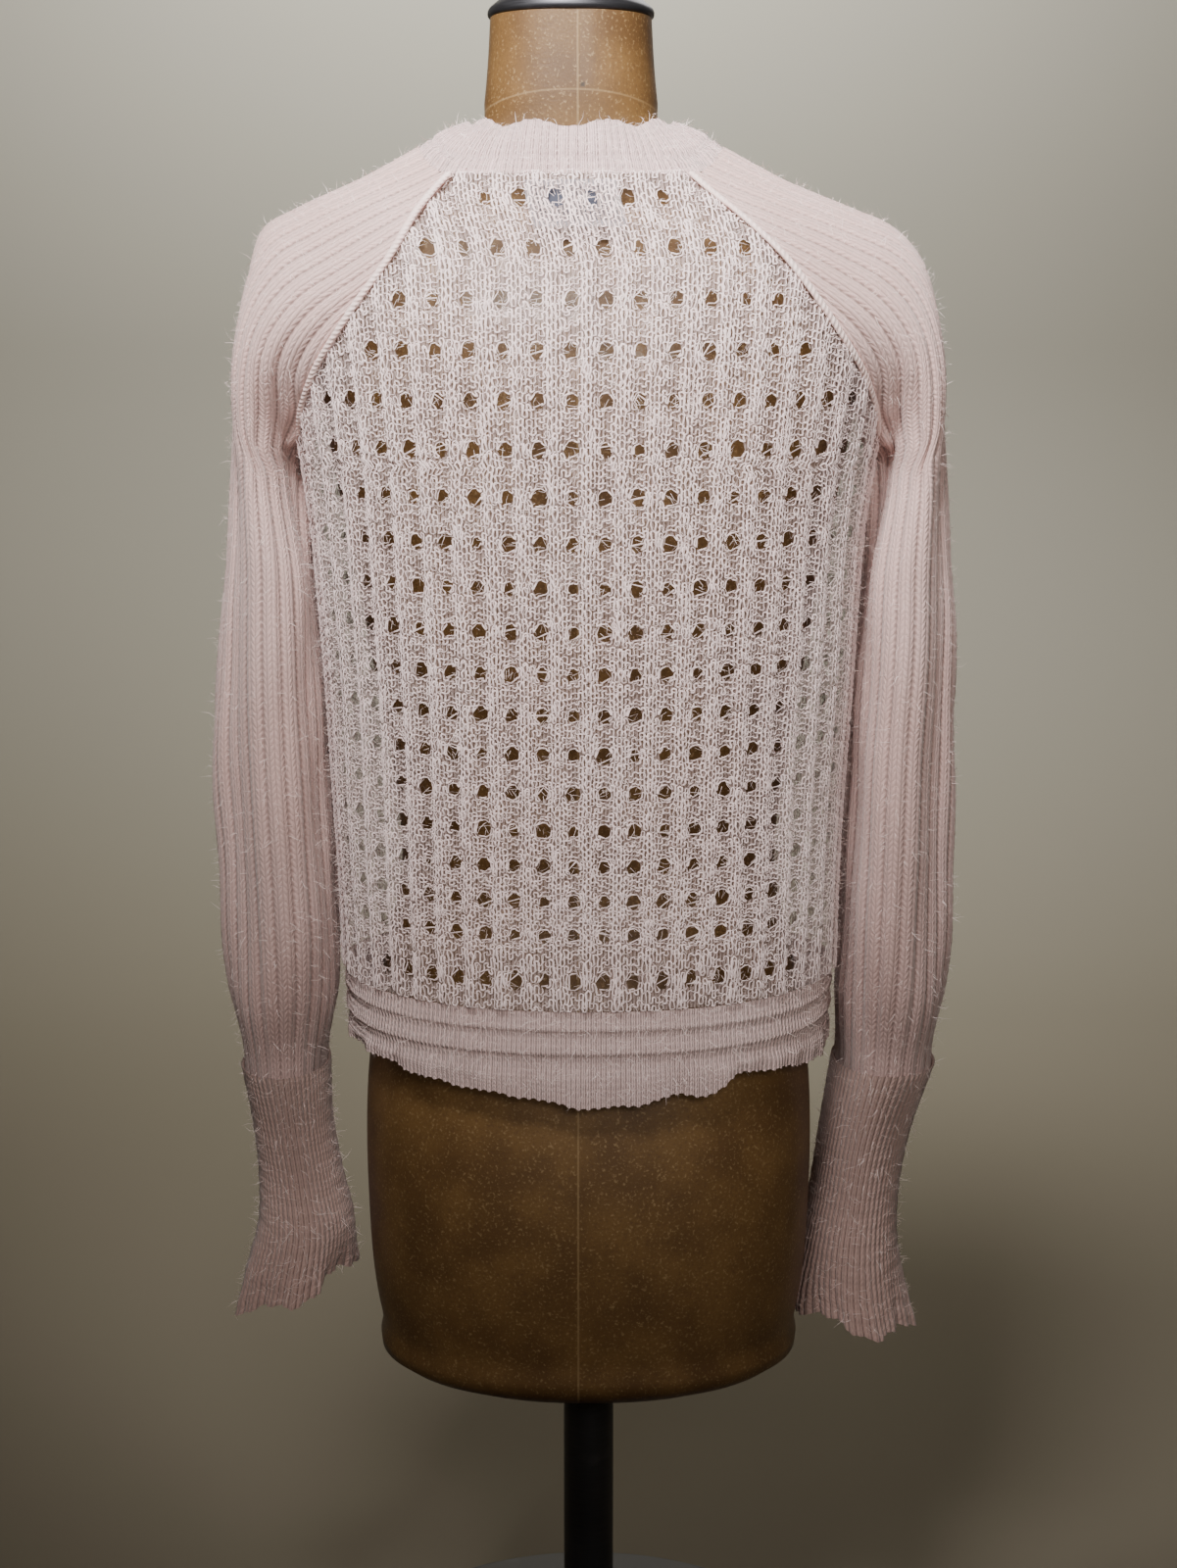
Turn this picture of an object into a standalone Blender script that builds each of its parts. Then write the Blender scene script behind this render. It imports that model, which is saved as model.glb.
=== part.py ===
"""A lace-knit raglan cardigan, buttoned on a limbless dress form with a round base.

Metres, +Z up. The origin is the middle of the base's underside, the centre back faces +Y and
the wearer's left is +X. Each cloth piece is a thin wall: an inner skin, and an outer skin on
which the ribs and tucks are raised.
"""

import math

import bmesh
import bpy
import numpy as np

# Cloth walls, measured from the surface that the tables below give
WALL_OUT = 0.0010
WALL_IN = 0.0008
SEAM_GAP = 0.0005
EDGE_MOST, LACE_EDGE_MOST = 0.006, 0.010

# Where the yoke and the neck stand to the wearer's left of the body
NECK_SHIFT = 0.010
SHIFT_FROM, SHIFT_TO = 0.890, 0.945

# Lace: the eyelets' rows, the columns between two ribs, and the ribs
EYELET_ROWS = 19
FIRST_ROW_HEIGHT = 0.931
ROW_STEP, ROW_STEP_LOSS = 0.0287, 0.00029
LACE_TOP, LACE_END = 0.9445, 0.4845
CUT_COLUMNS = 7
HALF_CELLS = 13
CUT_ROOM = 0.6
EYELET_HALF_WIDTH, EYELET_HALF_HEIGHT = 0.0041, 0.0044
EYELET_VARIATION, EYELET_COLUMN_TURN, EYELET_ROW_TURN = 0.10, 3.7, 2.3
LACE_RIB = 0.0013
UNDERARM_ROW, UNDERARM_HEIGHT = 6, 0.785

# Front neckline, a flattened arc, and the strip between the two front panels
NECKLINE_HALF_WIDTH, NECKLINE_DROP, NECKLINE_TOP = 0.080, 0.089, 0.955
FRONT_EDGE = 0.0136
BAND_FREE_UNDER, BAND_FREE_OVER = 0.0085, 0.0105
BAND_LIFT = 0.0031
BAND_STEP = 0.68
BAND_HEIGHTS = (0.4370, 0.4845, 0.5350, 0.5850, 0.6350, 0.6850, 0.7350, 0.7850, 0.8300, 0.8670, 0.8930)

# Rows of a front panel: its neckline and raglan stations, then heights below the underarm
FRONT_ROWS = (0, 0.5, 1, 1.5, 2, 2.5, 3, 4, 5, 6)
NECKLINE_ROW = 3
FRONT_LOWER = (0.725, 0.665, 0.605, 0.545, 0.4845)
FRONT_RIBS = 12

# Sleeve ribs
SLEEVE_RIBS = 25
SLEEVE_RIB_PITCH = 0.0114
SLEEVE_RIB = 0.0015
CURVE_POINTS = 41
NORMAL_STEP = 0.002

# Buttons on the over band
BUTTONS = 7
BUTTON_RADIUS, BUTTON_THICKNESS = 0.006, 0.0028
BUTTON_LOWEST, BUTTON_HIGHEST = 0.447, 0.862
BUTTON_SIDES, BUTTON_CLEARANCE = 14, 0.0007

# Raised lines over the raglan seams
SEAM_CORD_RADIUS = 0.0014
SEAM_CORD_CLEARANCE, SEAM_CORD_START = 0.0011, 0.0025

# Dress form
FORM_SIDES = 20
POST_RADIUS, POST_TOP, POST_SIDES = 0.0155, 0.2347, 20
BASE_RADIUS, BASE_HEIGHT, BASE_SIDES = 0.160, 0.018, 36
BASE_ROUND = 0.004
STAND_GAP = 0.0003
SHARP_ANGLE = math.radians(50)

ROUNDNESS = 2.3


def table(names, *rows):
    """A table as one array for each named column, in rising order of the first column."""
    order = np.array(sorted(rows))
    found = dict(zip(names, order.T))
    found["along"] = order[:, 0]
    return found


# Cloth round the body. In the yoke, half_width is the virtual dome over both shoulders.
BODY = table(
    ("height", "half_width", "back", "front"),
    (0.425, 0.1430, 0.1190, 0.1155),
    (0.473, 0.1450, 0.1160, 0.1120),
    (0.540, 0.1470, 0.1130, 0.1080),
    (0.620, 0.1505, 0.1120, 0.1120),
    (0.700, 0.1560, 0.1140, 0.1220),
    (0.758, 0.1600, 0.1145, 0.1300),
    (0.785, 0.1640, 0.1145, 0.1290),
    (0.820, 0.1700, 0.1125, 0.1220),
    (0.850, 0.1750, 0.1088, 0.1120),
    (0.879, 0.1795, 0.1000, 0.1010),
    (0.900, 0.1790, 0.0915, 0.0920),
    (0.915, 0.1720, 0.0830, 0.0840),
    (0.931, 0.1480, 0.0700, 0.0745),
    (0.9445, 0.1220, 0.0600, 0.0660),
    (0.9635, 0.0865, 0.0500, 0.0540),
)

# Back raglan seam: how far out it is at each height of the back panel's rows
BACK_SEAM = table(
    ("height", "out"),
    (0.785, 0.1639),
    (0.808, 0.1625),
    (0.834, 0.1525),
    (0.861, 0.1345),
    (0.889, 0.1135),
    (0.917, 0.0905),
    (0.9445, 0.0640),
)

# Front raglan seam, a station for each row edge of the back panel's yoke
FRONT_SEAM = table(
    ("station", "out", "height"),
    (0, 0.0768, 0.930),
    (1, 0.0965, 0.909),
    (2, 0.1165, 0.888),
    (3, 0.1345, 0.866),
    (4, 0.1500, 0.842),
    (5, 0.1618, 0.812),
    (6, 0.1639, 0.785),
)

# How far the lace rows and the hem sag from the sides to the centre back
SAG = table(
    ("height", "sag"),
    (0.430, 0.0062),
    (0.4845, 0.0065),
    (0.600, 0.0080),
    (0.720, 0.0070),
    (0.785, 0.0030),
    (0.861, 0.0010),
    (0.9445, 0.0),
)

# Distance between two lace ribs, measured along the cloth
PITCH = table(
    ("height", "pitch"),
    (0.430, 0.0160),
    (0.520, 0.0165),
    (0.740, 0.0175),
    (0.930, 0.0195),
)

# Sleeve strip over the shoulder, a station for each row edge of the back panel's yoke: its
# highest line, and the direction and reach with which it leaves the two raglan seams
SHOULDER = table(
    ("station", "out", "height", "turn", "seam_reach", "top_reach"),
    (0, 0.0865, 0.9635, -38.0, 0.020, 0.020),
    (1, 0.1210, 0.9452, -30.0, 0.022, 0.032),
    (2, 0.1570, 0.9297, -18.0, 0.026, 0.044),
    (3, 0.1810, 0.9170, -4.0, 0.034, 0.054),
    (4, 0.1925, 0.8930, 14.0, 0.044, 0.062),
    (5, 0.1990, 0.8500, 34.0, 0.056, 0.070),
    (6, 0.2045, 0.7970, 52.0, 0.074, 0.076),
)

# Sleeves below the underarm: the outer and inner edge seen from behind, the half depth, and
# how far forward the arm hangs
SLEEVE_COLUMNS = ("height", "outer", "inner", "depth", "forward")
SLEEVE_LEFT = table(
    SLEEVE_COLUMNS,
    (0.4215, 0.2120, 0.1605, 0.0460, 0.012),
    (0.483, 0.2180, 0.1535, 0.0530, 0.008),
    (0.550, 0.2195, 0.1545, 0.0560, 0.005),
    (0.620, 0.2215, 0.1570, 0.0570, 0.003),
    (0.690, 0.2160, 0.1615, 0.0570, 0.001),
    (0.750, 0.2085, 0.1655, 0.0560, 0.000),
)
SLEEVE_RIGHT = table(
    SLEEVE_COLUMNS,
    (0.4215, 0.2125, 0.1520, 0.0480, 0.018),
    (0.483, 0.2170, 0.1530, 0.0530, 0.012),
    (0.550, 0.2172, 0.1545, 0.0560, 0.008),
    (0.620, 0.2158, 0.1570, 0.0570, 0.004),
    (0.690, 0.2155, 0.1615, 0.0570, 0.001),
    (0.750, 0.2090, 0.1655, 0.0560, 0.000),
)

# Cuffs, from the sleeve's end down to the flared edge
CUFF_LEFT = table(
    SLEEVE_COLUMNS,
    (0.2740, 0.2190, 0.1500, 0.0470, 0.026),
    (0.2880, 0.2150, 0.1490, 0.0440, 0.025),
    (0.3150, 0.2060, 0.1490, 0.0390, 0.023),
    (0.3420, 0.2046, 0.1545, 0.0350, 0.021),
    (0.3790, 0.2065, 0.1600, 0.0370, 0.017),
    (0.4210, 0.2120, 0.1605, 0.0460, 0.012),
)
CUFF_RIGHT = table(
    SLEEVE_COLUMNS,
    (0.2530, 0.2040, 0.1275, 0.0470, 0.034),
    (0.2700, 0.1995, 0.1285, 0.0440, 0.034),
    (0.3000, 0.1940, 0.1340, 0.0400, 0.032),
    (0.3300, 0.1936, 0.1400, 0.0360, 0.029),
    (0.3700, 0.1985, 0.1450, 0.0370, 0.024),
    (0.4210, 0.2125, 0.1520, 0.0480, 0.018),
)
CUFF_SIDES = 20
CUFF_WAVES, CUFF_WAVE, CUFF_FLUTE = 5, 0.0032, 0.0030
CUFF_TILT_LEFT, CUFF_TILT_RIGHT = 0.42, 0.22
CUFF_FLARE_FROM = 0.55

# Long folds down the sleeves: where each lies round the half ring, from 0 at the inner line
# to 1 at the highest line, on the back (+1) or the front (-1), and the heights it runs between
FOLDS = (
    {"side": 1, "at": 0.66, "wide": 0.13, "raise": -0.0060, "low": 0.45, "high": 0.86},
    {"side": 1, "at": 0.40, "wide": 0.14, "raise": 0.0035, "low": 0.43, "high": 0.82},
    {"side": -1, "at": 0.55, "wide": 0.15, "raise": -0.0050, "low": 0.46, "high": 0.84},
    {"side": -1, "at": 0.30, "wide": 0.14, "raise": 0.0030, "low": 0.44, "high": 0.78},
)

# Hem band: two tucks that rise slowly and end in an overhang, above a plain rib
HEM_COLUMNS = 34
HEM_PROFILE = table(
    ("drop", "raise"),
    (0.0000, 0.0000),
    (0.0065, 0.0002),
    (0.0095, 0.0021),
    (0.0115, 0.0021),
    (0.0123, 0.0002),
    (0.0200, 0.0003),
    (0.0225, 0.0023),
    (0.0246, 0.0023),
    (0.0254, 0.0002),
    (0.0400, 0.0005),
    (0.0540, 0.0000),
)
HEM_INNER_ROWS = (0, 5, 9, 10)
HEM_EDGE_FROM, HEM_EDGE_FADE, HEM_FRONT_RISE = 0.6, 0.06, 0.006

# Lower edge of the hem at the back, how far it hangs below or above its mean
HEM_EDGE = table(
    ("out", "rise"),
    (-0.150, 0.002),
    (-0.130, 0.006),
    (-0.110, 0.010),
    (-0.086, 0.012),
    (-0.070, 0.004),
    (-0.045, 0.004),
    (-0.020, -0.001),
    (0.005, -0.001),
    (0.035, 0.004),
    (0.065, 0.007),
    (0.095, 0.010),
    (0.125, 0.014),
    (0.150, 0.014),
)

# Neckband: the two loops that its lower and upper edges follow
BAND_TOP_SIDE, BAND_TOP_BACK, BAND_TOP_FRONT = 0.0600, 0.0475, 0.0945
BAND_TOP = table(
    ("forward", "height"),
    (-0.0475, 0.973),
    (0.000, 0.9755),
    (0.040, 0.956),
    (0.070, 0.928),
    (0.088, 0.902),
    (0.0945, 0.893),
)
BAND_BULGE = 0.0020
BAND_WAVES, BAND_WAVE = 13, 0.0011
BAND_BACK_POINTS, BAND_FRONT_POINTS = 4, 7
BAND_TURN_CENTRE, BAND_NARROW, BAND_NARROW_OUT, BAND_FRONT_FROM = 0.004, 0.80, 0.0027, 0.03

# Where the dress form's own skin runs, from its lower end to the top of its neck
FORM = table(
    ("height", "half_width", "back", "front"),
    (0.2350, 0.100, 0.078, 0.078),
    (0.2430, 0.121, 0.092, 0.093),
    (0.2650, 0.127, 0.097, 0.099),
    (0.3500, 0.135, 0.108, 0.104),
    (0.4300, 0.1330, 0.103, 0.098),
    (0.5000, 0.1210, 0.090, 0.089),
    (0.5450, 0.1120, 0.080, 0.085),
    (0.6000, 0.1160, 0.083, 0.090),
    (0.6600, 0.1260, 0.091, 0.101),
    (0.7200, 0.1360, 0.098, 0.115),
    (0.7700, 0.1460, 0.102, 0.120),
    (0.8200, 0.1550, 0.102, 0.111),
    (0.8600, 0.1610, 0.096, 0.100),
    (0.8850, 0.1640, 0.086, 0.085),
    (0.9050, 0.1620, 0.075, 0.073),
    (0.9200, 0.1570, 0.064, 0.062),
    (0.9310, 0.1430, 0.053, 0.051),
    (0.9402, 0.1240, 0.046, 0.045),
    (0.9502, 0.1020, 0.042, 0.042),
    (0.9600, 0.0750, 0.0400, 0.0390),
    (0.9750, 0.0520, 0.0405, 0.0400),
    (0.9900, 0.0495, 0.0410, 0.0410),
    (1.0100, 0.0475, 0.0405, 0.0400),
    (1.0350, 0.0460, 0.0400, 0.0395),
)
CAP_PROFILE = (
    (0.0, 1.0565),
    (0.0200, 1.0545),
    (0.0370, 1.0485),
    (0.0475, 1.0400),
    (0.0475, 1.0353),
    (0.0, 1.0353),
)
CAP_DEPTH = 0.88
CAP_SIDES = 28

LABEL_HALF_WIDTH, LABEL_TOP, LABEL_LOW = 0.026, 0.9425, 0.9155
LABEL_THICKNESS, LABEL_BEHIND = 0.0010, 0.0006


def read(columns, name, at):
    """The smooth value of one column of a table at each place along its first column."""
    along, values = columns["along"], columns[name]
    slopes = np.gradient(values, along)
    at = np.clip(np.asarray(at, float), along[0], along[-1])
    low = np.clip(np.searchsorted(along, at) - 1, 0, len(along) - 2)
    span = along[low + 1] - along[low]
    t = (at - along[low]) / span
    start = (1 + 2 * t) * (1 - t) ** 2 * values[low] + t * (1 - t) ** 2 * span * slopes[low]
    end = t * t * (3 - 2 * t) * values[low + 1] + t * t * (t - 1) * span * slopes[low + 1]
    return start + end


def unit(vector):
    """The vector at length one."""
    return np.asarray(vector, float) / np.linalg.norm(vector)


def step_up(value, low, high):
    """0 below low, 1 above high, and a smooth rise between."""
    t = np.clip((value - low) / (high - low), 0.0, 1.0)
    return t * t * (3 - 2 * t)


def shifted(points):
    """The points with the neck and yoke moved to the wearer's left."""
    points = np.array(points, float)
    points[:, 0] += NECK_SHIFT * step_up(points[:, 2], SHIFT_FROM, SHIFT_TO)
    return points


def on_section(shape, angle, height):
    """A point on a table's rounded section. Angle 0 is the +X side, a quarter turn +Y."""
    across, along = math.cos(angle), math.sin(angle)
    depth = read(shape, "back" if along >= 0 else "front", height)
    power = 2 / ROUNDNESS
    x = read(shape, "half_width", height) * math.copysign(abs(across) ** power, across)
    y = depth * math.copysign(abs(along) ** power, along)
    return np.array((x, y, height), float)


def body_normal(point):
    """The body surface's outward direction at a point on it."""
    x, y, height = point
    step = 0.002
    width = read(BODY, "half_width", height)
    side = "back" if y >= 0 else "front"
    depth = read(BODY, side, height)
    width_slope = (read(BODY, "half_width", height + step) - width) / step
    depth_slope = (read(BODY, side, height + step) - depth) / step
    across, along = abs(x) / width, abs(y) / depth
    return unit((
        math.copysign(across ** (ROUNDNESS - 1) / width, x),
        math.copysign(along ** (ROUNDNESS - 1) / depth, y),
        -(across**ROUNDNESS * width_slope / width + along**ROUNDNESS * depth_slope / depth),
    ))


def seam_angle(out, height):
    """The body section's angle, back side, at a distance out from the middle."""
    share = min(1.0, out / float(read(BODY, "half_width", height)))
    return math.acos(share ** (ROUNDNESS / 2))


def quarter(height, side):
    """Angles from the middle (back 1, front -1) to the side, and the cloth's length to each."""
    angles = np.linspace(math.pi / 2, 0.0, 121)
    width = float(read(BODY, "half_width", height))
    depth = float(read(BODY, "back" if side > 0 else "front", height))
    power = 2 / ROUNDNESS
    x = width * np.cos(angles).clip(0) ** power
    y = depth * np.sin(angles).clip(0) ** power
    lengths = np.concatenate(([0.0], np.cumsum(np.hypot(np.diff(x), np.diff(y)))))
    return angles, lengths


def at_distance(distance, height, side):
    """The body's point at a distance along the cloth from the middle of the back or front."""
    angles, lengths = quarter(height, side)
    angle = float(np.interp(abs(distance), lengths, angles))
    point = on_section(BODY, side * angle, height)
    point[0] = math.copysign(point[0], distance)
    return point


def length_to(out, height, side):
    """The cloth's length from the middle of the back or front to a distance out."""
    angles, lengths = quarter(height, side)
    angle = seam_angle(out, height)
    return float(np.interp(-angle, -angles, lengths))


def bezier(start, start_handle, end_handle, end, steps):
    """Points along a cubic curve, as an array."""
    t = np.linspace(0.0, 1.0, steps)[:, None]
    return (
        (1 - t) ** 3 * start
        + 3 * t * (1 - t) ** 2 * start_handle
        + 3 * t * t * (1 - t) * end_handle
        + t**3 * end
    )


def along_curve(curve, distances):
    """Points at the given distances along a chain of points."""
    steps = np.linalg.norm(np.diff(curve, axis=0), axis=1)
    lengths = np.concatenate(([0.0], np.cumsum(steps)))
    at = np.clip(distances, 0.0, lengths[-1])
    return np.stack([np.interp(at, lengths, curve[:, axis]) for axis in range(3)], axis=1)


def curve_length(curve):
    """The length of a chain of points."""
    return float(np.linalg.norm(np.diff(curve, axis=0), axis=1).sum())


class Skin:
    """Points and faces of one side of a wall. Faces name points by their index."""

    def __init__(self):
        self.points = []
        self.faces = []

    def add(self, point):
        """Adds a point and returns its index."""
        self.points.append(np.array(point, float))
        return len(self.points) - 1

    def face(self, *corners):
        """Adds a face without its repeated corners, or none if fewer than three are left."""
        kept = [c for n, c in enumerate(corners) if c != corners[n - 1]]
        if len(set(kept)) > 2:
            self.faces.append(tuple(kept))

    def strip(self, row, next_row):
        """Adds the faces between two rows with the same number of points."""
        for n in range(len(row) - 1):
            self.face(row[n], row[n + 1], next_row[n + 1], next_row[n])


def open_edges(faces):
    """The directed edges that only one face has."""
    edges = {(face[n - 1], face[n]) for face in faces for n in range(len(face))}
    return [edge for edge in edges if edge[::-1] not in edges]


def wall_faces(outer, inner):
    """Faces of a wall whose two skins have the same faces, joined round every open edge."""
    count = len(outer.points)
    faces = list(outer.faces)
    faces += [tuple(count + c for c in face[::-1]) for face in inner.faces]
    for start, end in open_edges(outer.faces):
        faces.append((end, start, count + start, count + end))
    return faces


def zipped(row, places, other, other_places):
    """Triangles between two rows of indices that need not have equally many points."""
    n, m, faces = 0, 0, []
    while n < len(row) - 1 or m < len(other) - 1:
        row_done, other_done = n == len(row) - 1, m == len(other) - 1
        if other_done or (not row_done and places[n + 1] <= other_places[m + 1] + 1e-9):
            faces.append((row[n], row[n + 1], other[m]))
            n += 1
        else:
            faces.append((row[n], other[m + 1], other[m]))
            m += 1
    return faces


def make_material(name, color, roughness, metallic=0.0):
    """A plain surface with one colour, roughness and metallic value."""
    material = bpy.data.materials.new(name)
    material.use_nodes = True
    surface = material.node_tree.nodes["Principled BSDF"]
    surface.inputs["Base Color"].default_value = (*color, 1.0)
    surface.inputs["Roughness"].default_value = roughness
    surface.inputs["Metallic"].default_value = metallic
    return material


def make_object(name, points, faces, material, smooth=False):
    """One closed solid with its faces turned outwards, in the cardigan's collection."""
    mesh = bpy.data.meshes.new(name)
    mesh.from_pydata([tuple(p) for p in shifted(points)], [], [tuple(f) for f in faces])
    tidy = bmesh.new()
    tidy.from_mesh(mesh)
    bmesh.ops.recalc_face_normals(tidy, faces=tidy.faces)
    tidy.to_mesh(mesh)
    tidy.free()
    if smooth:
        mesh.shade_smooth()
        mesh.set_sharp_from_angle(angle=SHARP_ANGLE)
    obj = bpy.data.objects.new(name, mesh)
    obj.data.materials.append(material)
    bpy.data.collections["Cardigan"].objects.link(obj)
    return obj


def offset_pair(outer, inner, point, normal, lift=0.0):
    """Adds a point's outer and inner wall points and returns their index in both skins."""
    outer.add(point + normal * (WALL_OUT + lift))
    return inner.add(point - normal * WALL_IN)


def row_height(row):
    """Height of a lace row's edge at the centre back. Rows count down from the neckband."""
    row_z = [FIRST_ROW_HEIGHT - ROW_STEP * n + ROW_STEP_LOSS * n * n for n in range(EYELET_ROWS)]
    middle = [(above + below) / 2 for above, below in zip(row_z, row_z[1:])]
    return float(np.interp(row, range(EYELET_ROWS + 1), [LACE_TOP, *middle, LACE_END]))


def row_reach(row):
    """The cloth's length from the centre back to the raglan or side seam along a row's edge."""
    edge = row_height(row) + float(read(SAG, "sag", row_height(row)))
    if row < UNDERARM_ROW:
        return length_to(float(read(BACK_SEAM, "out", edge)), edge, 1)
    return quarter(edge, 1)[1][-1]


def back_point(distance, row):
    """The back panel's point at a distance from the centre, on a row's edge or between two."""
    reach = row_reach(row)
    sag = float(read(SAG, "sag", row_height(row)))
    height = row_height(row) + sag * min(1.0, abs(distance) / reach) ** 2
    return at_distance(distance, height, 1)


def shoulder_ring(station, side, back):
    """Half a sleeve ring as a curve, from its raglan seam to the shoulder's highest line."""
    seam = seam_points(side, back)[station]
    turn = math.radians(SHOULDER["turn"][station])
    leave = np.array((side * math.cos(turn), back * math.sin(turn), 0.0))
    top = np.array((side * SHOULDER["out"][station], 0.0, SHOULDER["height"][station]))
    return bezier(
        seam,
        seam + leave * SHOULDER["seam_reach"][station],
        top + np.array((0.0, back * SHOULDER["top_reach"][station], 0.0)),
        top,
        CURVE_POINTS,
    )


def seam_points(side, back):
    """The raglan seam's stations from the neck to the underarm. side and back are 1 or -1."""
    found = []
    for station in range(UNDERARM_ROW + 1):
        if back > 0:
            found.append(back_point(side * row_reach(station), station))
            continue
        height = float(FRONT_SEAM["height"][station])
        point = on_section(BODY, -seam_angle(float(FRONT_SEAM["out"][station]), height), height)
        found.append(point * (side, 1, 1))
    found[-1][1] = 0.0
    return found


def seam_frames(side, back):
    """For each seam station: its point, the way out of the wall, and the way to the sleeve."""
    points = seam_points(side, back)
    frames = []
    for station, point in enumerate(points[:-1]):
        ahead, behind = points[station + 1], points[max(0, station - 1)]
        along = unit(ahead - behind)
        turn = math.radians(SHOULDER["turn"][station])
        leave = np.array((side * math.cos(turn), back * math.sin(turn), 0.0))
        body_out = body_normal(point)
        sleeve_out = unit(np.cross(along, leave))
        if np.dot(sleeve_out, (0.0, back, 0.4)) < 0:
            sleeve_out = -sleeve_out
        out = body_out + sleeve_out
        out = unit(out - along * np.dot(out, along))
        to_sleeve = np.cross(out, along)
        if np.dot(to_sleeve, leave) < 0:
            to_sleeve = -to_sleeve
        frames.append((point, out, to_sleeve))
    frames.append((points[-1], np.array((0.0, 0.0, -1.0)), np.array((side, 0.0, 0.0))))
    return frames


def column_pitch(row):
    """Distance between two lace ribs on a row's edge."""
    return float(read(PITCH, "pitch", row_height(row)))


def make_back(material):
    """The lace back: eyelet cells between raised ribs, ended at the raglan and side seams."""
    outer, inner = Skin(), Skin()
    frames = {side: seam_frames(side, 1) for side in (-1, 1)}
    edges = range(-HALF_CELLS, HALF_CELLS + 1)
    rows = []
    for row in range(EYELET_ROWS + 1):
        reach = row_reach(row)
        ends = {}
        for side in (-1, 1):
            if row <= UNDERARM_ROW:
                point, out, to_sleeve = frames[side][row]
                point = point - to_sleeve * SEAM_GAP / 2
            else:
                point = back_point(side * reach, row)
                out = body_normal(point)
            if row >= UNDERARM_ROW:
                point = point + np.array((0.0, SEAM_GAP / 2, 0.0))
            ends[side] = offset_pair(outer, inner, point, out)
        indices = []
        for edge in edges:
            distance = edge * column_pitch(row)
            if abs(distance) > reach - LACE_EDGE_MOST:
                indices.append(ends[1 if edge > 0 else -1])
                continue
            point = back_point(distance, row)
            ended = row in (0, EYELET_ROWS)
            indices.append(offset_pair(outer, inner, point, body_normal(point), LACE_RIB * (not ended)))
        rows.append([ends[-1], *indices, ends[1]])
    for row in range(EYELET_ROWS):
        for n in range(len(edges) - 1):
            corners = (rows[row][n + 1], rows[row][n + 2], rows[row + 1][n + 2], rows[row + 1][n + 1])
            column = edges[n] + 0.5
            pitch = column_pitch(row + 0.5)
            room = (row_reach(row + 0.5) - abs(column) * pitch) / pitch
            if len(set(corners)) < 4 or abs(column) > CUT_COLUMNS or room < CUT_ROOM:
                outer.face(*corners)
                continue
            turn = EYELET_COLUMN_TURN * column + EYELET_ROW_TURN * row
            size = 1 + EYELET_VARIATION * math.sin(turn)
            wide = EYELET_HALF_WIDTH * size
            tall = EYELET_HALF_HEIGHT * size / (row_height(row) - row_height(row + 1))
            hole = []
            for across, down in ((0, -tall), (wide, 0), (0, tall), (-wide, 0)):
                point = back_point(column * pitch + across, row + 0.5 + down)
                hole.append(offset_pair(outer, inner, point, body_normal(point)))
            for k in range(4):
                outer.face(corners[k], corners[(k + 1) % 4], hole[k])
                outer.face(corners[k], hole[k], hole[k - 1])
        outer.face(rows[row][0], rows[row][1], rows[row + 1][1], rows[row + 1][0])
        outer.face(rows[row][-2], rows[row][-1], rows[row + 1][-1], rows[row + 1][-2])
    inner.faces = outer.faces
    return make_object("back_panel", outer.points + inner.points, wall_faces(outer, inner), material)


def neckline(share):
    """Out and height on the front neckline, from its raglan seam (0) to the band (1)."""
    first = math.asin(FRONT_SEAM["out"][0] / NECKLINE_HALF_WIDTH)
    last = math.asin(FRONT_EDGE / NECKLINE_HALF_WIDTH)
    angle = first + (last - first) * share
    out = NECKLINE_HALF_WIDTH * math.sin(angle)
    if share == 0:
        return out, float(FRONT_SEAM["height"][0])
    return out, NECKLINE_TOP - NECKLINE_DROP * math.cos(angle)


def front_on_body(out, height):
    """The front surface's point at a distance out from the middle."""
    point = on_section(BODY, -seam_angle(abs(out), height), height)
    point[0] = math.copysign(point[0], out)
    return point


def front_row(side, row):
    """A front row's inner end, outer end, and the wall's direction and shift at the outer end."""
    frames = seam_frames(side, -1)
    low, high = int(math.floor(row)), int(math.ceil(row))
    outer_end, out, to_sleeve = (sum(pair) / 2 for pair in zip(frames[low], frames[high]))
    if row <= NECKLINE_ROW:
        across, height = neckline(row / NECKLINE_ROW)
    else:
        ends = (neckline(1)[1], UNDERARM_HEIGHT)
        height = float(np.interp(row, (NECKLINE_ROW, UNDERARM_ROW), ends))
        across = FRONT_EDGE
    return front_on_body(side * across, height), outer_end, unit(out), to_sleeve


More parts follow.
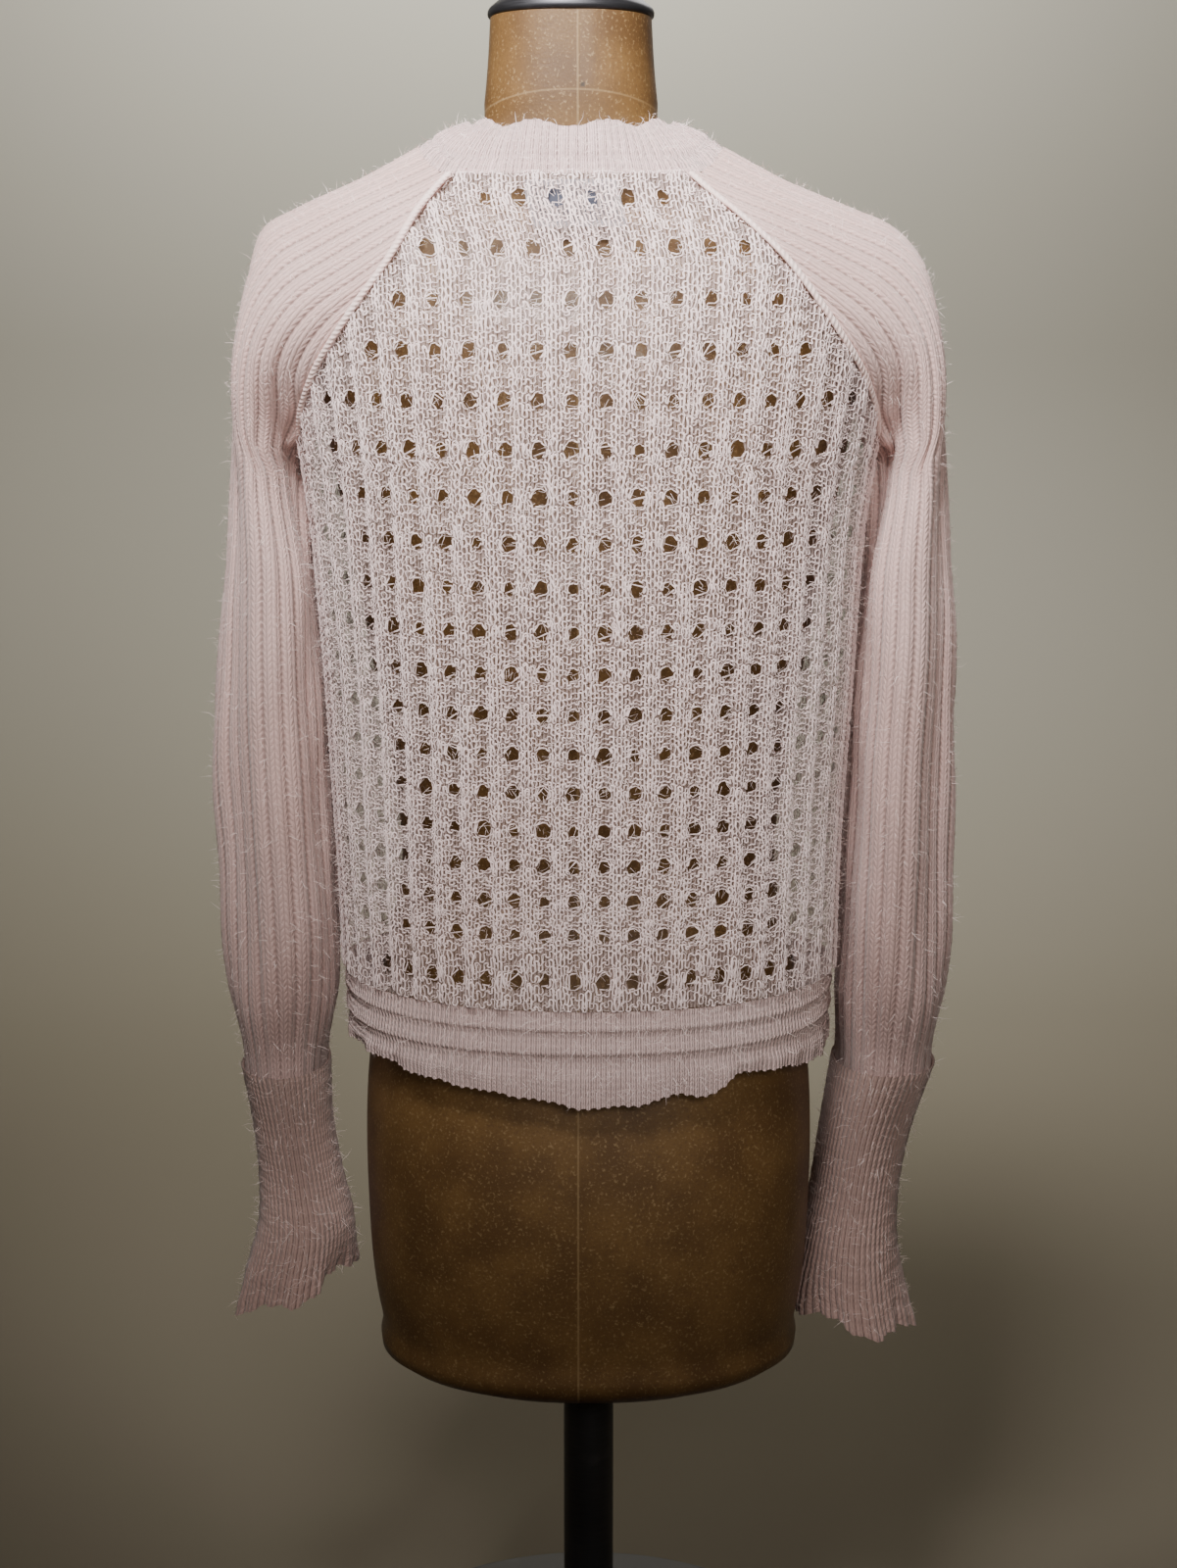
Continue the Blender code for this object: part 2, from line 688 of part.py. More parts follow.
def make_front(side, material, name):
    """One front panel with raised ribs, from the neckline and raglan seam to the hem."""
    outer, inner = Skin(), Skin()
    rows = []
    for number, row in enumerate([*FRONT_ROWS, *FRONT_LOWER]):
        if number < len(FRONT_ROWS):
            start, end, out, to_sleeve = front_row(side, row)
            end = end - to_sleeve * SEAM_GAP / 2
            pitch = float(read(PITCH, "pitch", (start[2] + end[2]) / 2))
        else:
            start = front_on_body(side * FRONT_EDGE, row)
            end = on_section(BODY, 0.0, row + float(read(SAG, "sag", row))) * (side, 1, 1)
            out = body_normal(end)
            pitch = float(read(PITCH, "pitch", row))
        if abs(end[1]) < 1e-6:
            end = end - np.array((0.0, SEAM_GAP / 2, 0.0))
        first = length_to(abs(start[0]), start[2], -1)
        last = length_to(min(abs(end[0]), float(read(BODY, "half_width", end[2]))), end[2], -1)
        if abs(end[1]) < 1e-3:
            last = quarter(end[2], -1)[1][-1]
        ended = row in (0, FRONT_LOWER[-1])
        if row == 0:
            index = offset_pair(outer, inner, end, out)
            rows.append([index] * (2 * FRONT_RIBS + 2))
            continue
        start_index = offset_pair(outer, inner, start, body_normal(start))
        end_index = offset_pair(outer, inner, end, out)
        indices = [start_index]
        for half in range(1, 2 * FRONT_RIBS + 1):
            distance = FRONT_EDGE + half * pitch / 2
            if distance < first + EDGE_MOST / 2:
                indices.append(start_index)
            elif distance > last - EDGE_MOST:
                indices.append(end_index)
            else:
                share = (distance - first) / (last - first)
                height = start[2] + (end[2] - start[2]) * share
                point = at_distance(side * distance, height, -1)
                lift = LACE_RIB * (half % 2) * (not ended)
                indices.append(offset_pair(outer, inner, point, body_normal(point), lift))
        rows.append([*indices, end_index])
    for above, below in zip(rows, rows[1:]):
        outer.strip(above, below)
    inner.faces = outer.faces
    return make_object(name, outer.points + inner.points, wall_faces(outer, inner), material)


def sleeve_section(columns, height, side, back):
    """Half a closed sleeve ring as a curve, from the inner line to the outer line."""
    outer_out, inner_out, depth, forward = (
        float(read(columns, name, height)) for name in ("outer", "inner", "depth", "forward")
    )
    inner_point = np.array((side * inner_out, -forward, height))
    outer_point = np.array((side * outer_out, -forward, height))
    reach = np.array((0.0, back * depth * 4 / 3, 0.0))
    return bezier(inner_point, inner_point + reach, outer_point + reach, outer_point, CURVE_POINTS)


def folded(curve, back, height):
    """The ring's curve pushed in or out of its own plane where the long folds run."""
    middle = (curve[0] + curve[-1]) / 2
    away = curve - middle
    away[:, 2] = 0
    away /= np.linalg.norm(away, axis=1)[:, None] + 1e-9
    share = np.linspace(0, 1, len(curve))
    moved = curve.copy()
    for fold in FOLDS:
        if fold["side"] != back:
            continue
        strength = step_up(height, fold["low"], fold["low"] + 0.10)
        strength *= 1 - step_up(height, fold["high"] - 0.08, fold["high"])
        across = np.exp(-(((share - fold["at"]) / fold["wide"]) ** 2))
        moved += away * (across * strength * fold["raise"])[:, None]
    return moved


def sleeve_rings(side):
    """Each sleeve ring: its two half curves from seam to top, and whether it is closed."""
    columns = SLEEVE_LEFT if side > 0 else SLEEVE_RIGHT
    rings = []
    for station in range(UNDERARM_ROW + 1):
        halves = {back: shoulder_ring(station, side, back) for back in (1, -1)}
        rings.append((halves, station == UNDERARM_ROW))
    for height in columns["along"][::-1]:
        halves = {}
        for back in (1, -1):
            halves[back] = folded(sleeve_section(columns, height, side, back), back, height)
        rings.append((halves, True))
    return rings


def way_round(halves, back, distance, closed):
    """The direction round a sleeve ring at a distance down from its highest line."""
    curve, other = halves[back][::-1], halves[-back][::-1]
    before, after = along_curve(curve, np.array((distance - NORMAL_STEP, distance + NORMAL_STEP)))
    if distance < NORMAL_STEP:
        after = along_curve(curve, np.array((NORMAL_STEP,)))[0]
        before = along_curve(other, np.array((NORMAL_STEP,)))[0]
    last = curve_length(curve) - NORMAL_STEP
    if closed and distance > last:
        before = along_curve(curve, np.array((last,)))[0]
        after = along_curve(other, np.array((last,)))[0]
    return unit(after - before)


def make_sleeve(side, material, name):
    """A raglan sleeve: ribs that run with its highest line and end at the two raglan seams."""
    outer, inner = Skin(), Skin()
    frames = {back: seam_frames(side, back) for back in (1, -1)}
    rings = sleeve_rings(side)
    tops = [halves[1][-1] for halves, _ in rings]
    outer_rows, inner_rows, outer_places, inner_places = [], [], [], []
    for number, (halves, closed) in enumerate(rings):
        down = tops[min(number + 1, len(tops) - 1)] - tops[max(number - 1, 0)]
        down = unit(down)
        lengths = {back: curve_length(halves[back]) for back in (1, -1)}
        outer_ids, inner_ids, outer_at, inner_at = [], [], [], []
        ends = {}
        if closed:
            point = halves[1][0]
            if number == UNDERARM_ROW:
                out = np.array((0.0, 0.0, -1.0))
                point = point + np.array((side * SEAM_GAP / 2, 0.0, 0.0))
            else:
                out = np.array((-side, 0.0, 0.0))
            ends[1] = ends[-1] = (
                outer.add(point + out * WALL_OUT),
                inner.add(point - out * WALL_IN),
            )
        else:
            for back in (1, -1):
                point, out, to_sleeve = frames[back][number]
                point = point + to_sleeve * SEAM_GAP / 2
                ends[back] = (outer.add(point + out * WALL_OUT), inner.add(point - out * WALL_IN))
        for half in range(-SLEEVE_RIBS, SLEEVE_RIBS + 1):
            back = 1 if half < 0 else -1
            share = abs(half) / SLEEVE_RIBS
            distance = share * lengths[back] if closed else abs(half) * SLEEVE_RIB_PITCH / 2
            if distance > lengths[back] - (1e-6 if closed else EDGE_MOST):
                outer_ids.append(ends[back][0])
                if half % 2:
                    inner_ids.append(ends[back][1])
                    inner_at.append(half)
                outer_at.append(half)
                continue
            point = along_curve(halves[back][::-1], np.array((distance,)))[0]
            around = way_round(halves, back, distance, closed) * (-back)
            out = unit(np.cross(around, down) * side)
            rib = SLEEVE_RIB * (half % 2 == 0) * (0 < number < len(rings) - 1)
            outer_ids.append(outer.add(point + out * (WALL_OUT + rib)))
            outer_at.append(half)
            if half % 2:
                inner_ids.append(inner.add(point - out * WALL_IN))
                inner_at.append(half)
        outer_rows.append(outer_ids)
        inner_rows.append(inner_ids)
        outer_places.append(outer_at)
        inner_places.append(inner_at)
    for above, below in zip(outer_rows, outer_rows[1:]):
        outer.strip(above, below)
    for above, below in zip(inner_rows, inner_rows[1:]):
        inner.strip(above, below)
    count = len(outer.points)
    faces = list(outer.faces) + [tuple(count + c for c in face[::-1]) for face in inner.faces]
    for row in (0, -1):
        across = [count + n for n in inner_rows[row]]
        for face in zipped(outer_rows[row], outer_places[row], across, inner_places[row]):
            if len(set(face)) == 3:
                faces.append(face)
    for place in (0, -1):
        for number in range(UNDERARM_ROW):
            upper, lower = outer_rows[number][place], outer_rows[number + 1][place]
            upper_in, lower_in = inner_rows[number][place], inner_rows[number + 1][place]
            faces.append((upper, lower, count + lower_in, count + upper_in))
    return make_object(name, outer.points + inner.points, faces, material)


def make_cuff(side, material, name):
    """A long cuff that narrows and then flares into a wavy edge."""
    columns = CUFF_LEFT if side > 0 else CUFF_RIGHT
    tilt = CUFF_TILT_LEFT if side > 0 else CUFF_TILT_RIGHT
    outer, inner = Skin(), Skin()
    heights = columns["along"][::-1]
    rows = []
    for number, height in enumerate(heights):
        flare = step_up(number / (len(heights) - 1), CUFF_FLARE_FROM, 1.0)
        halves = {back: sleeve_section(columns, height, side, back) for back in (1, -1)}
        middle = (halves[1][0] + halves[1][-1]) / 2
        indices = []
        for n in range(CUFF_SIDES):
            turn = n / CUFF_SIDES * 2
            back = 1 if turn < 1 else -1
            curve = halves[back]
            share = turn if turn < 1 else 2 - turn
            point = along_curve(curve, np.array((share * curve_length(curve),)))[0]
            out = unit((point - middle) * (1, 0.45, 0))
            wave = math.sin(2 * math.pi * CUFF_WAVES * n / CUFF_SIDES + side)
            point = point + out * flare * CUFF_FLUTE * wave
            drop = tilt * (abs(point[0]) - abs(middle[0])) + CUFF_WAVE * wave
            point[2] -= flare * drop
            ended = number == 0
            indices.append(offset_pair(outer, inner, point, out, 0.0 if ended else 0.0003))
        rows.append([*indices, indices[0]])
    for above, below in zip(rows, rows[1:]):
        outer.strip(above, below)
    inner.faces = outer.faces
    return make_object(name, outer.points + inner.points, wall_faces(outer, inner), material)


def hem_point(share, drop):
    """The hem's point at a share round the body (0 and 1 at the front edges) and a drop."""
    height = LACE_END - drop
    front, back = quarter(height, -1)[1], quarter(height, 1)[1]
    start = length_to(FRONT_EDGE, height, -1)
    half = front[-1] - start + back[-1]
    along = abs(share - 0.5) * 2 * half
    side = 1 if share < 0.5 else -1
    if along <= back[-1]:
        point = at_distance(side * along, height, 1)
    else:
        point = at_distance(side * (front[-1] - (along - back[-1])), height, -1)
    sag = float(read(SAG, "sag", height))
    rise = sag * min(1.0, along / back[-1]) ** 2
    if along > back[-1]:
        rise = sag * (half - along) / (half - back[-1])
    lowest = HEM_PROFILE["drop"][-1]
    late = step_up(drop, HEM_EDGE_FROM * lowest, lowest)
    fade = step_up(point[1], -HEM_EDGE_FADE, HEM_EDGE_FADE)
    edge = float(read(HEM_EDGE, "rise", point[0])) * fade + HEM_FRONT_RISE * (1 - fade)
    point[2] += rise + edge * late
    return point


def make_hem(material):
    """The ribbed hem with its two raised tucks, open at the centre front."""
    outer, inner = Skin(), Skin()
    shares = [n / HEM_COLUMNS for n in range(HEM_COLUMNS + 1)]
    outer_rows, inner_rows = [], []
    for number, (drop, lift) in enumerate(zip(HEM_PROFILE["drop"], HEM_PROFILE["raise"])):
        points = [hem_point(share, max(drop, SEAM_GAP)) for share in shares]
        outs = [body_normal(point) * (1, 1, 0) for point in points]
        outer_rows.append([outer.add(p + unit(o) * (WALL_OUT + lift)) for p, o in zip(points, outs)])
        if number in HEM_INNER_ROWS:
            inner_rows.append([inner.add(p - unit(o) * WALL_IN) for p, o in zip(points, outs)])
    for above, below in zip(outer_rows, outer_rows[1:]):
        outer.strip(above, below)
    for above, below in zip(inner_rows, inner_rows[1:]):
        inner.strip(above, below)
    count = len(outer.points)
    faces = list(outer.faces) + [tuple(count + c for c in face[::-1]) for face in inner.faces]
    for row in (0, -1):
        across = [count + n for n in inner_rows[row]]
        edge = outer_rows[row]
        faces += [(a, b, d, c) for a, b, c, d in zip(edge, edge[1:], across, across[1:])]
    inner_drops = [HEM_PROFILE["drop"][n] for n in HEM_INNER_ROWS]
    for place in (0, -1):
        down = [row[place] for row in outer_rows]
        down_in = [count + row[place] for row in inner_rows]
        faces += zipped(down, list(HEM_PROFILE["drop"]), down_in, inner_drops)
    return make_object("hem_band", outer.points + inner.points, faces, material)


def neck_loop():
    """Half the lower edge of the neckband on the left side, from centre back to front edge."""
    reach = row_reach(0)
    back = [at_distance(reach * n / BAND_BACK_POINTS, LACE_TOP, 1) for n in range(BAND_BACK_POINTS)]
    halves = {back_side: shoulder_ring(0, 1, back_side) for back_side in (1, -1)}
    quarter_step = (CURVE_POINTS - 1) // 4
    over = list(halves[1][::quarter_step]) + list(halves[-1][-1 - quarter_step : 0 : -quarter_step])
    front = []
    for n in range(BAND_FRONT_POINTS):
        out, height = neckline(n / (BAND_FRONT_POINTS - 1))
        front.append(front_on_body(out, height))
    return back + over + front


def band_top(point):
    """The neckband's upper edge above a point of its lower edge."""
    turn = math.atan2(point[1] + BAND_TURN_CENTRE, point[0])
    depth = BAND_TOP_BACK if turn > 0 else BAND_TOP_FRONT
    x, y = BAND_TOP_SIDE * math.cos(turn), depth * math.sin(turn)
    if point[1] < 0 and y < -BAND_FRONT_FROM:
        x = min(BAND_TOP_SIDE, abs(point[0]) * BAND_NARROW + BAND_NARROW_OUT)
    if point[1] < 0 and abs(point[0]) <= FRONT_EDGE + 1e-6:
        x = max(x, FRONT_EDGE)
    return np.array((x, y, float(read(BAND_TOP, "height", -y))))


def make_neckband(material):
    """The ribbed neckband, from one front edge round the neck to the other."""
    half = neck_loop()
    lower = [p * (-1, 1, 1) for p in half[:0:-1]] + half
    if len(lower) != 2 * len(half) - 1:
        raise ValueError("the neckband's loop has a point too many")
    outer, inner = Skin(), Skin()
    rows = [[], [], []]
    count = len(lower)
    for n, low in enumerate(lower):
        side = -1 if n < len(half) - 1 else 1
        top = band_top(low * (side, 1, 1)) * (side, 1, 1)
        if abs(low[0]) < 1e-6:
            top[0] = 0.0
        before, after = lower[max(0, n - 1)], lower[min(count - 1, n + 1)]
        rise = top - low
        out = unit(np.cross(after - before, rise))
        if out[2] < 0:
            out = -out
        low = low + unit(rise) * SEAM_GAP * 2
        wave = BAND_WAVE * math.cos(math.pi * BAND_WAVES * n / (count - 1) * 2)
        for row, (share, bulge) in enumerate(((0.0, 0.0), (0.5, BAND_BULGE), (1.0, 0.0))):
            place = low + rise * share + unit(rise) * wave * (share == 1.0)
            rows[row].append(offset_pair(outer, inner, place + out * bulge, out))
    for above, below in zip(rows, rows[1:]):
        outer.strip(above, below)
    inner.faces = outer.faces
    return make_object("neckband", outer.points + inner.points, wall_faces(outer, inner), material)


def band_centre(height):
    """How far forward the button bands' middle is at a height."""
    low = neckline(1)[1]
    if height <= low:
        return -float(read(BODY, "front", height))
    share = (height - low) / (BAND_HEIGHTS[-1] - low)
    edge = float(read(BODY, "front", low))
    return -(edge + (BAND_TOP_FRONT - edge) * share)


def make_band(over, material, name):
    """One front band. The over band is joined on the right and lies on the left one."""
    side = -1 if over else 1
    joined = side * (FRONT_EDGE - SEAM_GAP)
    free = -side * (BAND_FREE_OVER if over else BAND_FREE_UNDER)
    if over:
        step = joined * BAND_STEP
        columns = ((joined, 0.0), (step, BAND_LIFT), (0.0, BAND_LIFT), (free, BAND_LIFT))
    else:
        columns = ((joined, 0.0), (0.0, 0.0), (free, 0.0))
    outer, inner = Skin(), Skin()
    rows = []
    for height in BAND_HEIGHTS:
        indices = []
        for x, lift in columns:
            flat = height > neckline(1)[1]
            y = band_centre(height) if flat else front_on_body(x, height)[1]
            point = np.array((x, y, height))
            out = np.array((0.0, -1.0, 0.0))
            indices.append(offset_pair(outer, inner, point + out * lift, out))
        rows.append(indices)
    for above, below in zip(rows, rows[1:]):
        outer.strip(above, below)
    inner.faces = outer.faces
    return make_object(name, outer.points + inner.points, wall_faces(outer, inner), material)


def make_buttons(material):
    """Round buttons down the over band, each a cylinder turned to face forward."""
    for number in range(BUTTONS):
        share = number / (BUTTONS - 1)
        height = BUTTON_LOWEST + (BUTTON_HIGHEST - BUTTON_LOWEST) * share
        steps = (-BUTTON_RADIUS, 0.0, BUTTON_RADIUS)
        front = min(front_on_body(0.0, height + step)[1] for step in steps)
        lift = BAND_LIFT + WALL_OUT + BUTTON_CLEARANCE + BUTTON_THICKNESS / 2
        bpy.ops.mesh.primitive_cylinder_add(
            vertices=BUTTON_SIDES,
            radius=BUTTON_RADIUS,
            depth=BUTTON_THICKNESS,
            location=(0.0, front - lift, height),
            rotation=(math.pi / 2, 0.0, 0.0),
        )
        button = bpy.context.object
        button.name = button.data.name = f"button_{number + 1}"
        button.data.shade_smooth()
        button.data.set_sharp_from_angle(angle=SHARP_ANGLE)
        button.data.materials.append(material)
        move_to_part(button)


def move_to_part(obj):
    """Puts an object that a Blender operator made into the cardigan's collection."""
    for owner in list(obj.users_collection):
        owner.objects.unlink(obj)
    bpy.data.collections["Cardigan"].objects.link(obj)


def make_seam_cord(side, back, material, name):
    """The smooth raised line over a raglan seam, as a tube on the seam's own stations."""
    frames = seam_frames(side, back)[:UNDERARM_ROW]
    lift = WALL_OUT + SEAM_CORD_RADIUS + SEAM_CORD_CLEARANCE
    places = []
    for number, (point, out, _) in enumerate(frames):
        if number == 0:
            point = point + unit(frames[1][0] - point) * SEAM_CORD_START
        places.append(point + out * lift)
    curve = bpy.data.curves.new(name, "CURVE")
    curve.dimensions = "3D"
    curve.bevel_depth = SEAM_CORD_RADIUS
    curve.bevel_resolution = 1
    curve.use_fill_caps = True
    line = curve.splines.new("POLY")
    line.points.add(len(places) - 1)
    for point, place in zip(line.points, shifted(places)):
        point.co = (*place, 1.0)
    obj = bpy.data.objects.new(name, curve)
    curve.materials.append(material)
    bpy.data.collections["Cardigan"].objects.link(obj)


def make_label(material):
    """A plain cloth label inside the back, just below the neckband."""
    outer, inner = Skin(), Skin()
    rows = []
    for height in (LABEL_TOP, LABEL_LOW):
        indices = []
        for x in np.linspace(-LABEL_HALF_WIDTH, LABEL_HALF_WIDTH, 5):
            point = at_distance(x, height, 1)
            out = body_normal(point)
            skin = point - out * (WALL_IN + LABEL_BEHIND)
            outer.add(skin)
            indices.append(inner.add(skin - out * LABEL_THICKNESS))
        rows.append(indices)
    outer.strip(*rows)
    inner.faces = outer.faces
    return make_object("neck_label", outer.points + inner.points, wall_faces(outer, inner), material)


def make_form(material):
    """The limbless dress form, from the upper thighs to the top of its neck."""
    points, faces = [], []
    for height in FORM["along"]:
        for n in range(FORM_SIDES):
            points.append(on_section(FORM, 2 * math.pi * (n + 0.5) / FORM_SIDES, float(height)))
    rows = len(FORM["along"])
    for row in range(rows - 1):
        for n in range(FORM_SIDES):
            near, far = row * FORM_SIDES, (row + 1) * FORM_SIDES
            following = (n + 1) % FORM_SIDES
            faces.append((near + n, near + following, far + following, far + n))
    faces.append(tuple(range(FORM_SIDES)))
    faces.append(tuple((rows - 1) * FORM_SIDES + n for n in range(FORM_SIDES)))
    return make_object("form_torso", points, faces, material, smooth=True)


def make_cap(material):
    """The domed cap on the form's neck, its rim a little wider than the neck."""
    points, faces = [], []
    turned = [(r, z) for r, z in CAP_PROFILE if r > 0]
    for radius, height in turned:
        for n in range(CAP_SIDES):
            turn = 2 * math.pi * n / CAP_SIDES
            points.append((radius * math.cos(turn), radius * CAP_DEPTH * math.sin(turn), height))
    for row in range(len(turned) - 1):
        for n in range(CAP_SIDES):
            near, far = row * CAP_SIDES, (row + 1) * CAP_SIDES
            following = (n + 1) % CAP_SIDES
            faces.append((near + n, near + following, far + following, far + n))
    points.append((0.0, 0.0, CAP_PROFILE[0][1]))
    for n in range(CAP_SIDES):
        faces.append((n, (n + 1) % CAP_SIDES, len(points) - 1))
    faces.append(tuple((len(turned) - 1) * CAP_SIDES + n for n in range(CAP_SIDES)))
    return make_object("form_neck_cap", points, faces, material, smooth=True)


def make_stand(material):
    """The post under the form and its round base, whose edges are rounded."""
    bpy.ops.mesh.primitive_cylinder_add(
        vertices=POST_SIDES,
        radius=POST_RADIUS,
        depth=POST_TOP - BASE_HEIGHT - STAND_GAP,
        location=(0.0, 0.0, (POST_TOP + BASE_HEIGHT + STAND_GAP) / 2),
    )
    post = bpy.context.object
    post.name = post.data.name = "stand_post"
    bpy.ops.mesh.primitive_cylinder_add(
        vertices=BASE_SIDES,
        radius=BASE_RADIUS,
        depth=BASE_HEIGHT,
        location=(0.0, 0.0, BASE_HEIGHT / 2),
    )
    base = bpy.context.object
    base.name = base.data.name = "stand_base"
    bevel = base.modifiers.new("rounded rims", "BEVEL")
    bevel.width = BASE_ROUND
    bevel.segments = 1
    bevel.limit_method = "ANGLE"
    for obj in (post, base):
        obj.data.shade_smooth()
        obj.data.set_sharp_from_angle(angle=SHARP_ANGLE)
        obj.data.materials.append(material)
        move_to_part(obj)


def build():
    """Clears the scene and makes every piece."""
    for obj in list(bpy.data.objects):
        bpy.data.objects.remove(obj)
    bpy.context.scene.collection.children.link(bpy.data.collections.new("Cardigan"))
    lace = make_material("lace knit", (0.80, 0.62, 0.58), 0.90)
    rib = make_material("rib knit", (0.78, 0.58, 0.54), 0.90)
    seam = make_material("linked seam", (0.84, 0.58, 0.52), 0.75)
    label = make_material("label cloth", (0.09, 0.12, 0.22), 0.80)
    shell = make_material("button shell", (0.82, 0.74, 0.68), 0.30)
    paper = make_material("kraft paper", (0.33, 0.19, 0.07), 0.60)
    metal = make_material("dark metal", (0.10, 0.10, 0.11), 0.40, 0.9)

    make_back(lace)
    make_front(1, lace, "front_left")
    make_front(-1, lace, "front_right")
    make_sleeve(1, rib, "sleeve_left")
    make_sleeve(-1, rib, "sleeve_right")
    make_cuff(1, rib, "cuff_left")
    make_cuff(-1, rib, "cuff_right")
    make_hem(rib)
    make_neckband(rib)
    make_band(False, rib, "button_band_left")
    make_band(True, rib, "button_band_right")
    make_buttons(shell)
    for side, side_name in ((1, "left"), (-1, "right")):
        for back, back_name in ((1, "back"), (-1, "front")):
            make_seam_cord(side, back, seam, f"raglan_seam_{back_name}_{side_name}")
    make_label(label)
    make_form(paper)
    make_cap(metal)
    make_stand(metal)


build()
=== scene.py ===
"""The looks of a pale pink mohair lace cardigan that is buttoned on a dress form.

The camera stands behind the form, as in the photograph. The cloth pieces are worked out from
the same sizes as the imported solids: round sections of the body, rings of the sleeves, and a
lace whose ribs, eyelets and knitted yarn are placed by distance along the cloth.
"""

import logging
import math
from dataclasses import dataclass, field
from enum import Enum
from typing import Callable, Sequence

import bpy
import numpy as np
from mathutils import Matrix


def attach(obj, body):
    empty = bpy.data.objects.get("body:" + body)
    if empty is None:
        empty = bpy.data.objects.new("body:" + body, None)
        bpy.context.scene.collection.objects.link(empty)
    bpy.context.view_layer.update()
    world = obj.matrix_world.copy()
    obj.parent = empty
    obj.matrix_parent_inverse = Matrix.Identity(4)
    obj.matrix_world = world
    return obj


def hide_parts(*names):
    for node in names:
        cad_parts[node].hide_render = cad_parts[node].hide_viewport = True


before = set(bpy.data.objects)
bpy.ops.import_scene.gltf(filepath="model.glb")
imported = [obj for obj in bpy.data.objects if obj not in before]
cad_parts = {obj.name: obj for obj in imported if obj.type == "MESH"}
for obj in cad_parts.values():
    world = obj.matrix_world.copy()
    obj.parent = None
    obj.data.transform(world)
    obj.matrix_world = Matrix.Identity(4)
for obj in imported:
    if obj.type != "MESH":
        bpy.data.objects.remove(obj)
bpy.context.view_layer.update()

LOG = logging.getLogger("cardigan")
BODY_NAME = "root"
QUARTER_TURN = math.pi / 2
Color = tuple[float, float, float]
Socket = bpy.types.NodeSocket
Piece = bpy.types.Object
# A knitted piece, its grid of points and the inner points that its faces look away from.
Knitted = tuple[Piece, np.ndarray, np.ndarray]


class Slot(Enum):
    """The record's material slots."""

    LACE = "lace_knit"
    RIB = "rib_knit"
    SEAM = "linked_seam"
    LABEL = "label_cloth"
    BUTTON = "button_shell"
    KRAFT = "kraft_paper"
    METAL = "dark_metal"


class Side(Enum):
    """A side of the wearer. The value is the sign of X there."""

    LEFT = 1
    RIGHT = -1

    @property
    def word(self) -> str:
        """The side's name in a node's name."""
        return self.name.lower()


def through(known: np.ndarray, along: np.ndarray, at: np.ndarray | float) -> np.ndarray:
    """Values at new places, by cubic pieces whose slopes are the known values' own differences.

    Args:
        known: A value, or an array of points, for each known place.
        along: The known places, rising.
        at: The places that are asked for.

    Returns:
        What the curve has at each of them.
    """
    slopes = np.gradient(known, along, axis=0)
    low = np.clip(np.searchsorted(along, at) - 1, 0, len(along) - 2)
    shape = np.shape(at) + (1,) * (known.ndim - 1)
    span = np.reshape(along[low + 1] - along[low], shape)
    t = np.reshape(at - along[low], shape) / span
    start = (1 + 2 * t) * (1 - t) ** 2 * known[low] + t * (1 - t) ** 2 * span * slopes[low]
    end = t * t * (3 - 2 * t) * known[low + 1] + t * t * (t - 1) * span * slopes[low + 1]
    return start + end


class Columns:
    """A short table with named columns, read smoothly along its first column."""

    def __init__(self, names: Sequence[str], *rows: Sequence[float]) -> None:
        """Keeps the rows in rising order of the first column.

        Args:
            names: The columns' names.
            *rows: The rows, one value for each column.
        """
        values = np.array(sorted(rows), float)
        self.along = values[:, 0]
        self.values = dict(zip(names, values.T))

    def read(self, name: str, at: np.ndarray | float) -> np.ndarray:
        """A column's value at places along the first one; those outside it take its ends."""
        at = np.clip(np.asarray(at, float), self.along[0], self.along[-1])
        return through(self.values[name], self.along, at)


BODY = Columns(
    ("height", "half_width", "back", "front"),
    (0.425, 0.1430, 0.1190, 0.1155),
    (0.473, 0.1450, 0.1160, 0.1120),
    (0.540, 0.1470, 0.1130, 0.1080),
    (0.620, 0.1505, 0.1120, 0.1120),
    (0.700, 0.1560, 0.1140, 0.1220),
    (0.758, 0.1600, 0.1145, 0.1300),
    (0.785, 0.1640, 0.1145, 0.1290),
    (0.820, 0.1700, 0.1125, 0.1220),
    (0.850, 0.1750, 0.1088, 0.1120),
    (0.879, 0.1795, 0.1000, 0.1010),
    (0.900, 0.1790, 0.0915, 0.0920),
    (0.915, 0.1720, 0.0830, 0.0840),
    (0.931, 0.1480, 0.0700, 0.0745),
    (0.9445, 0.1220, 0.0600, 0.0660),
    (0.9635, 0.0865, 0.0500, 0.0540),
)
BACK_SEAM = Columns(
    ("height", "out"),
    (0.785, 0.1639),
    (0.808, 0.1625),
    (0.834, 0.1525),
    (0.861, 0.1345),
    (0.889, 0.1135),
    (0.917, 0.0905),
    (0.9445, 0.0640),
)
FRONT_SEAM = Columns(
    ("station", "out", "height"),
    (0, 0.0768, 0.930),
    (1, 0.0965, 0.909),
    (2, 0.1165, 0.888),
    (3, 0.1345, 0.866),
    (4, 0.1500, 0.842),
    (5, 0.1618, 0.812),
    (6, 0.1639, 0.785),
)
SAG = Columns(
    ("height", "sag"),
    (0.430, 0.0062),
    (0.4845, 0.0065),
    (0.600, 0.0080),
    (0.720, 0.0070),
    (0.785, 0.0030),
    (0.861, 0.0010),
    (0.9445, 0.0),
)
PITCH = Columns(
    ("height", "pitch"),
    (0.430, 0.0160),
    (0.520, 0.0165),
    (0.740, 0.0175),
    (0.930, 0.0195),
)
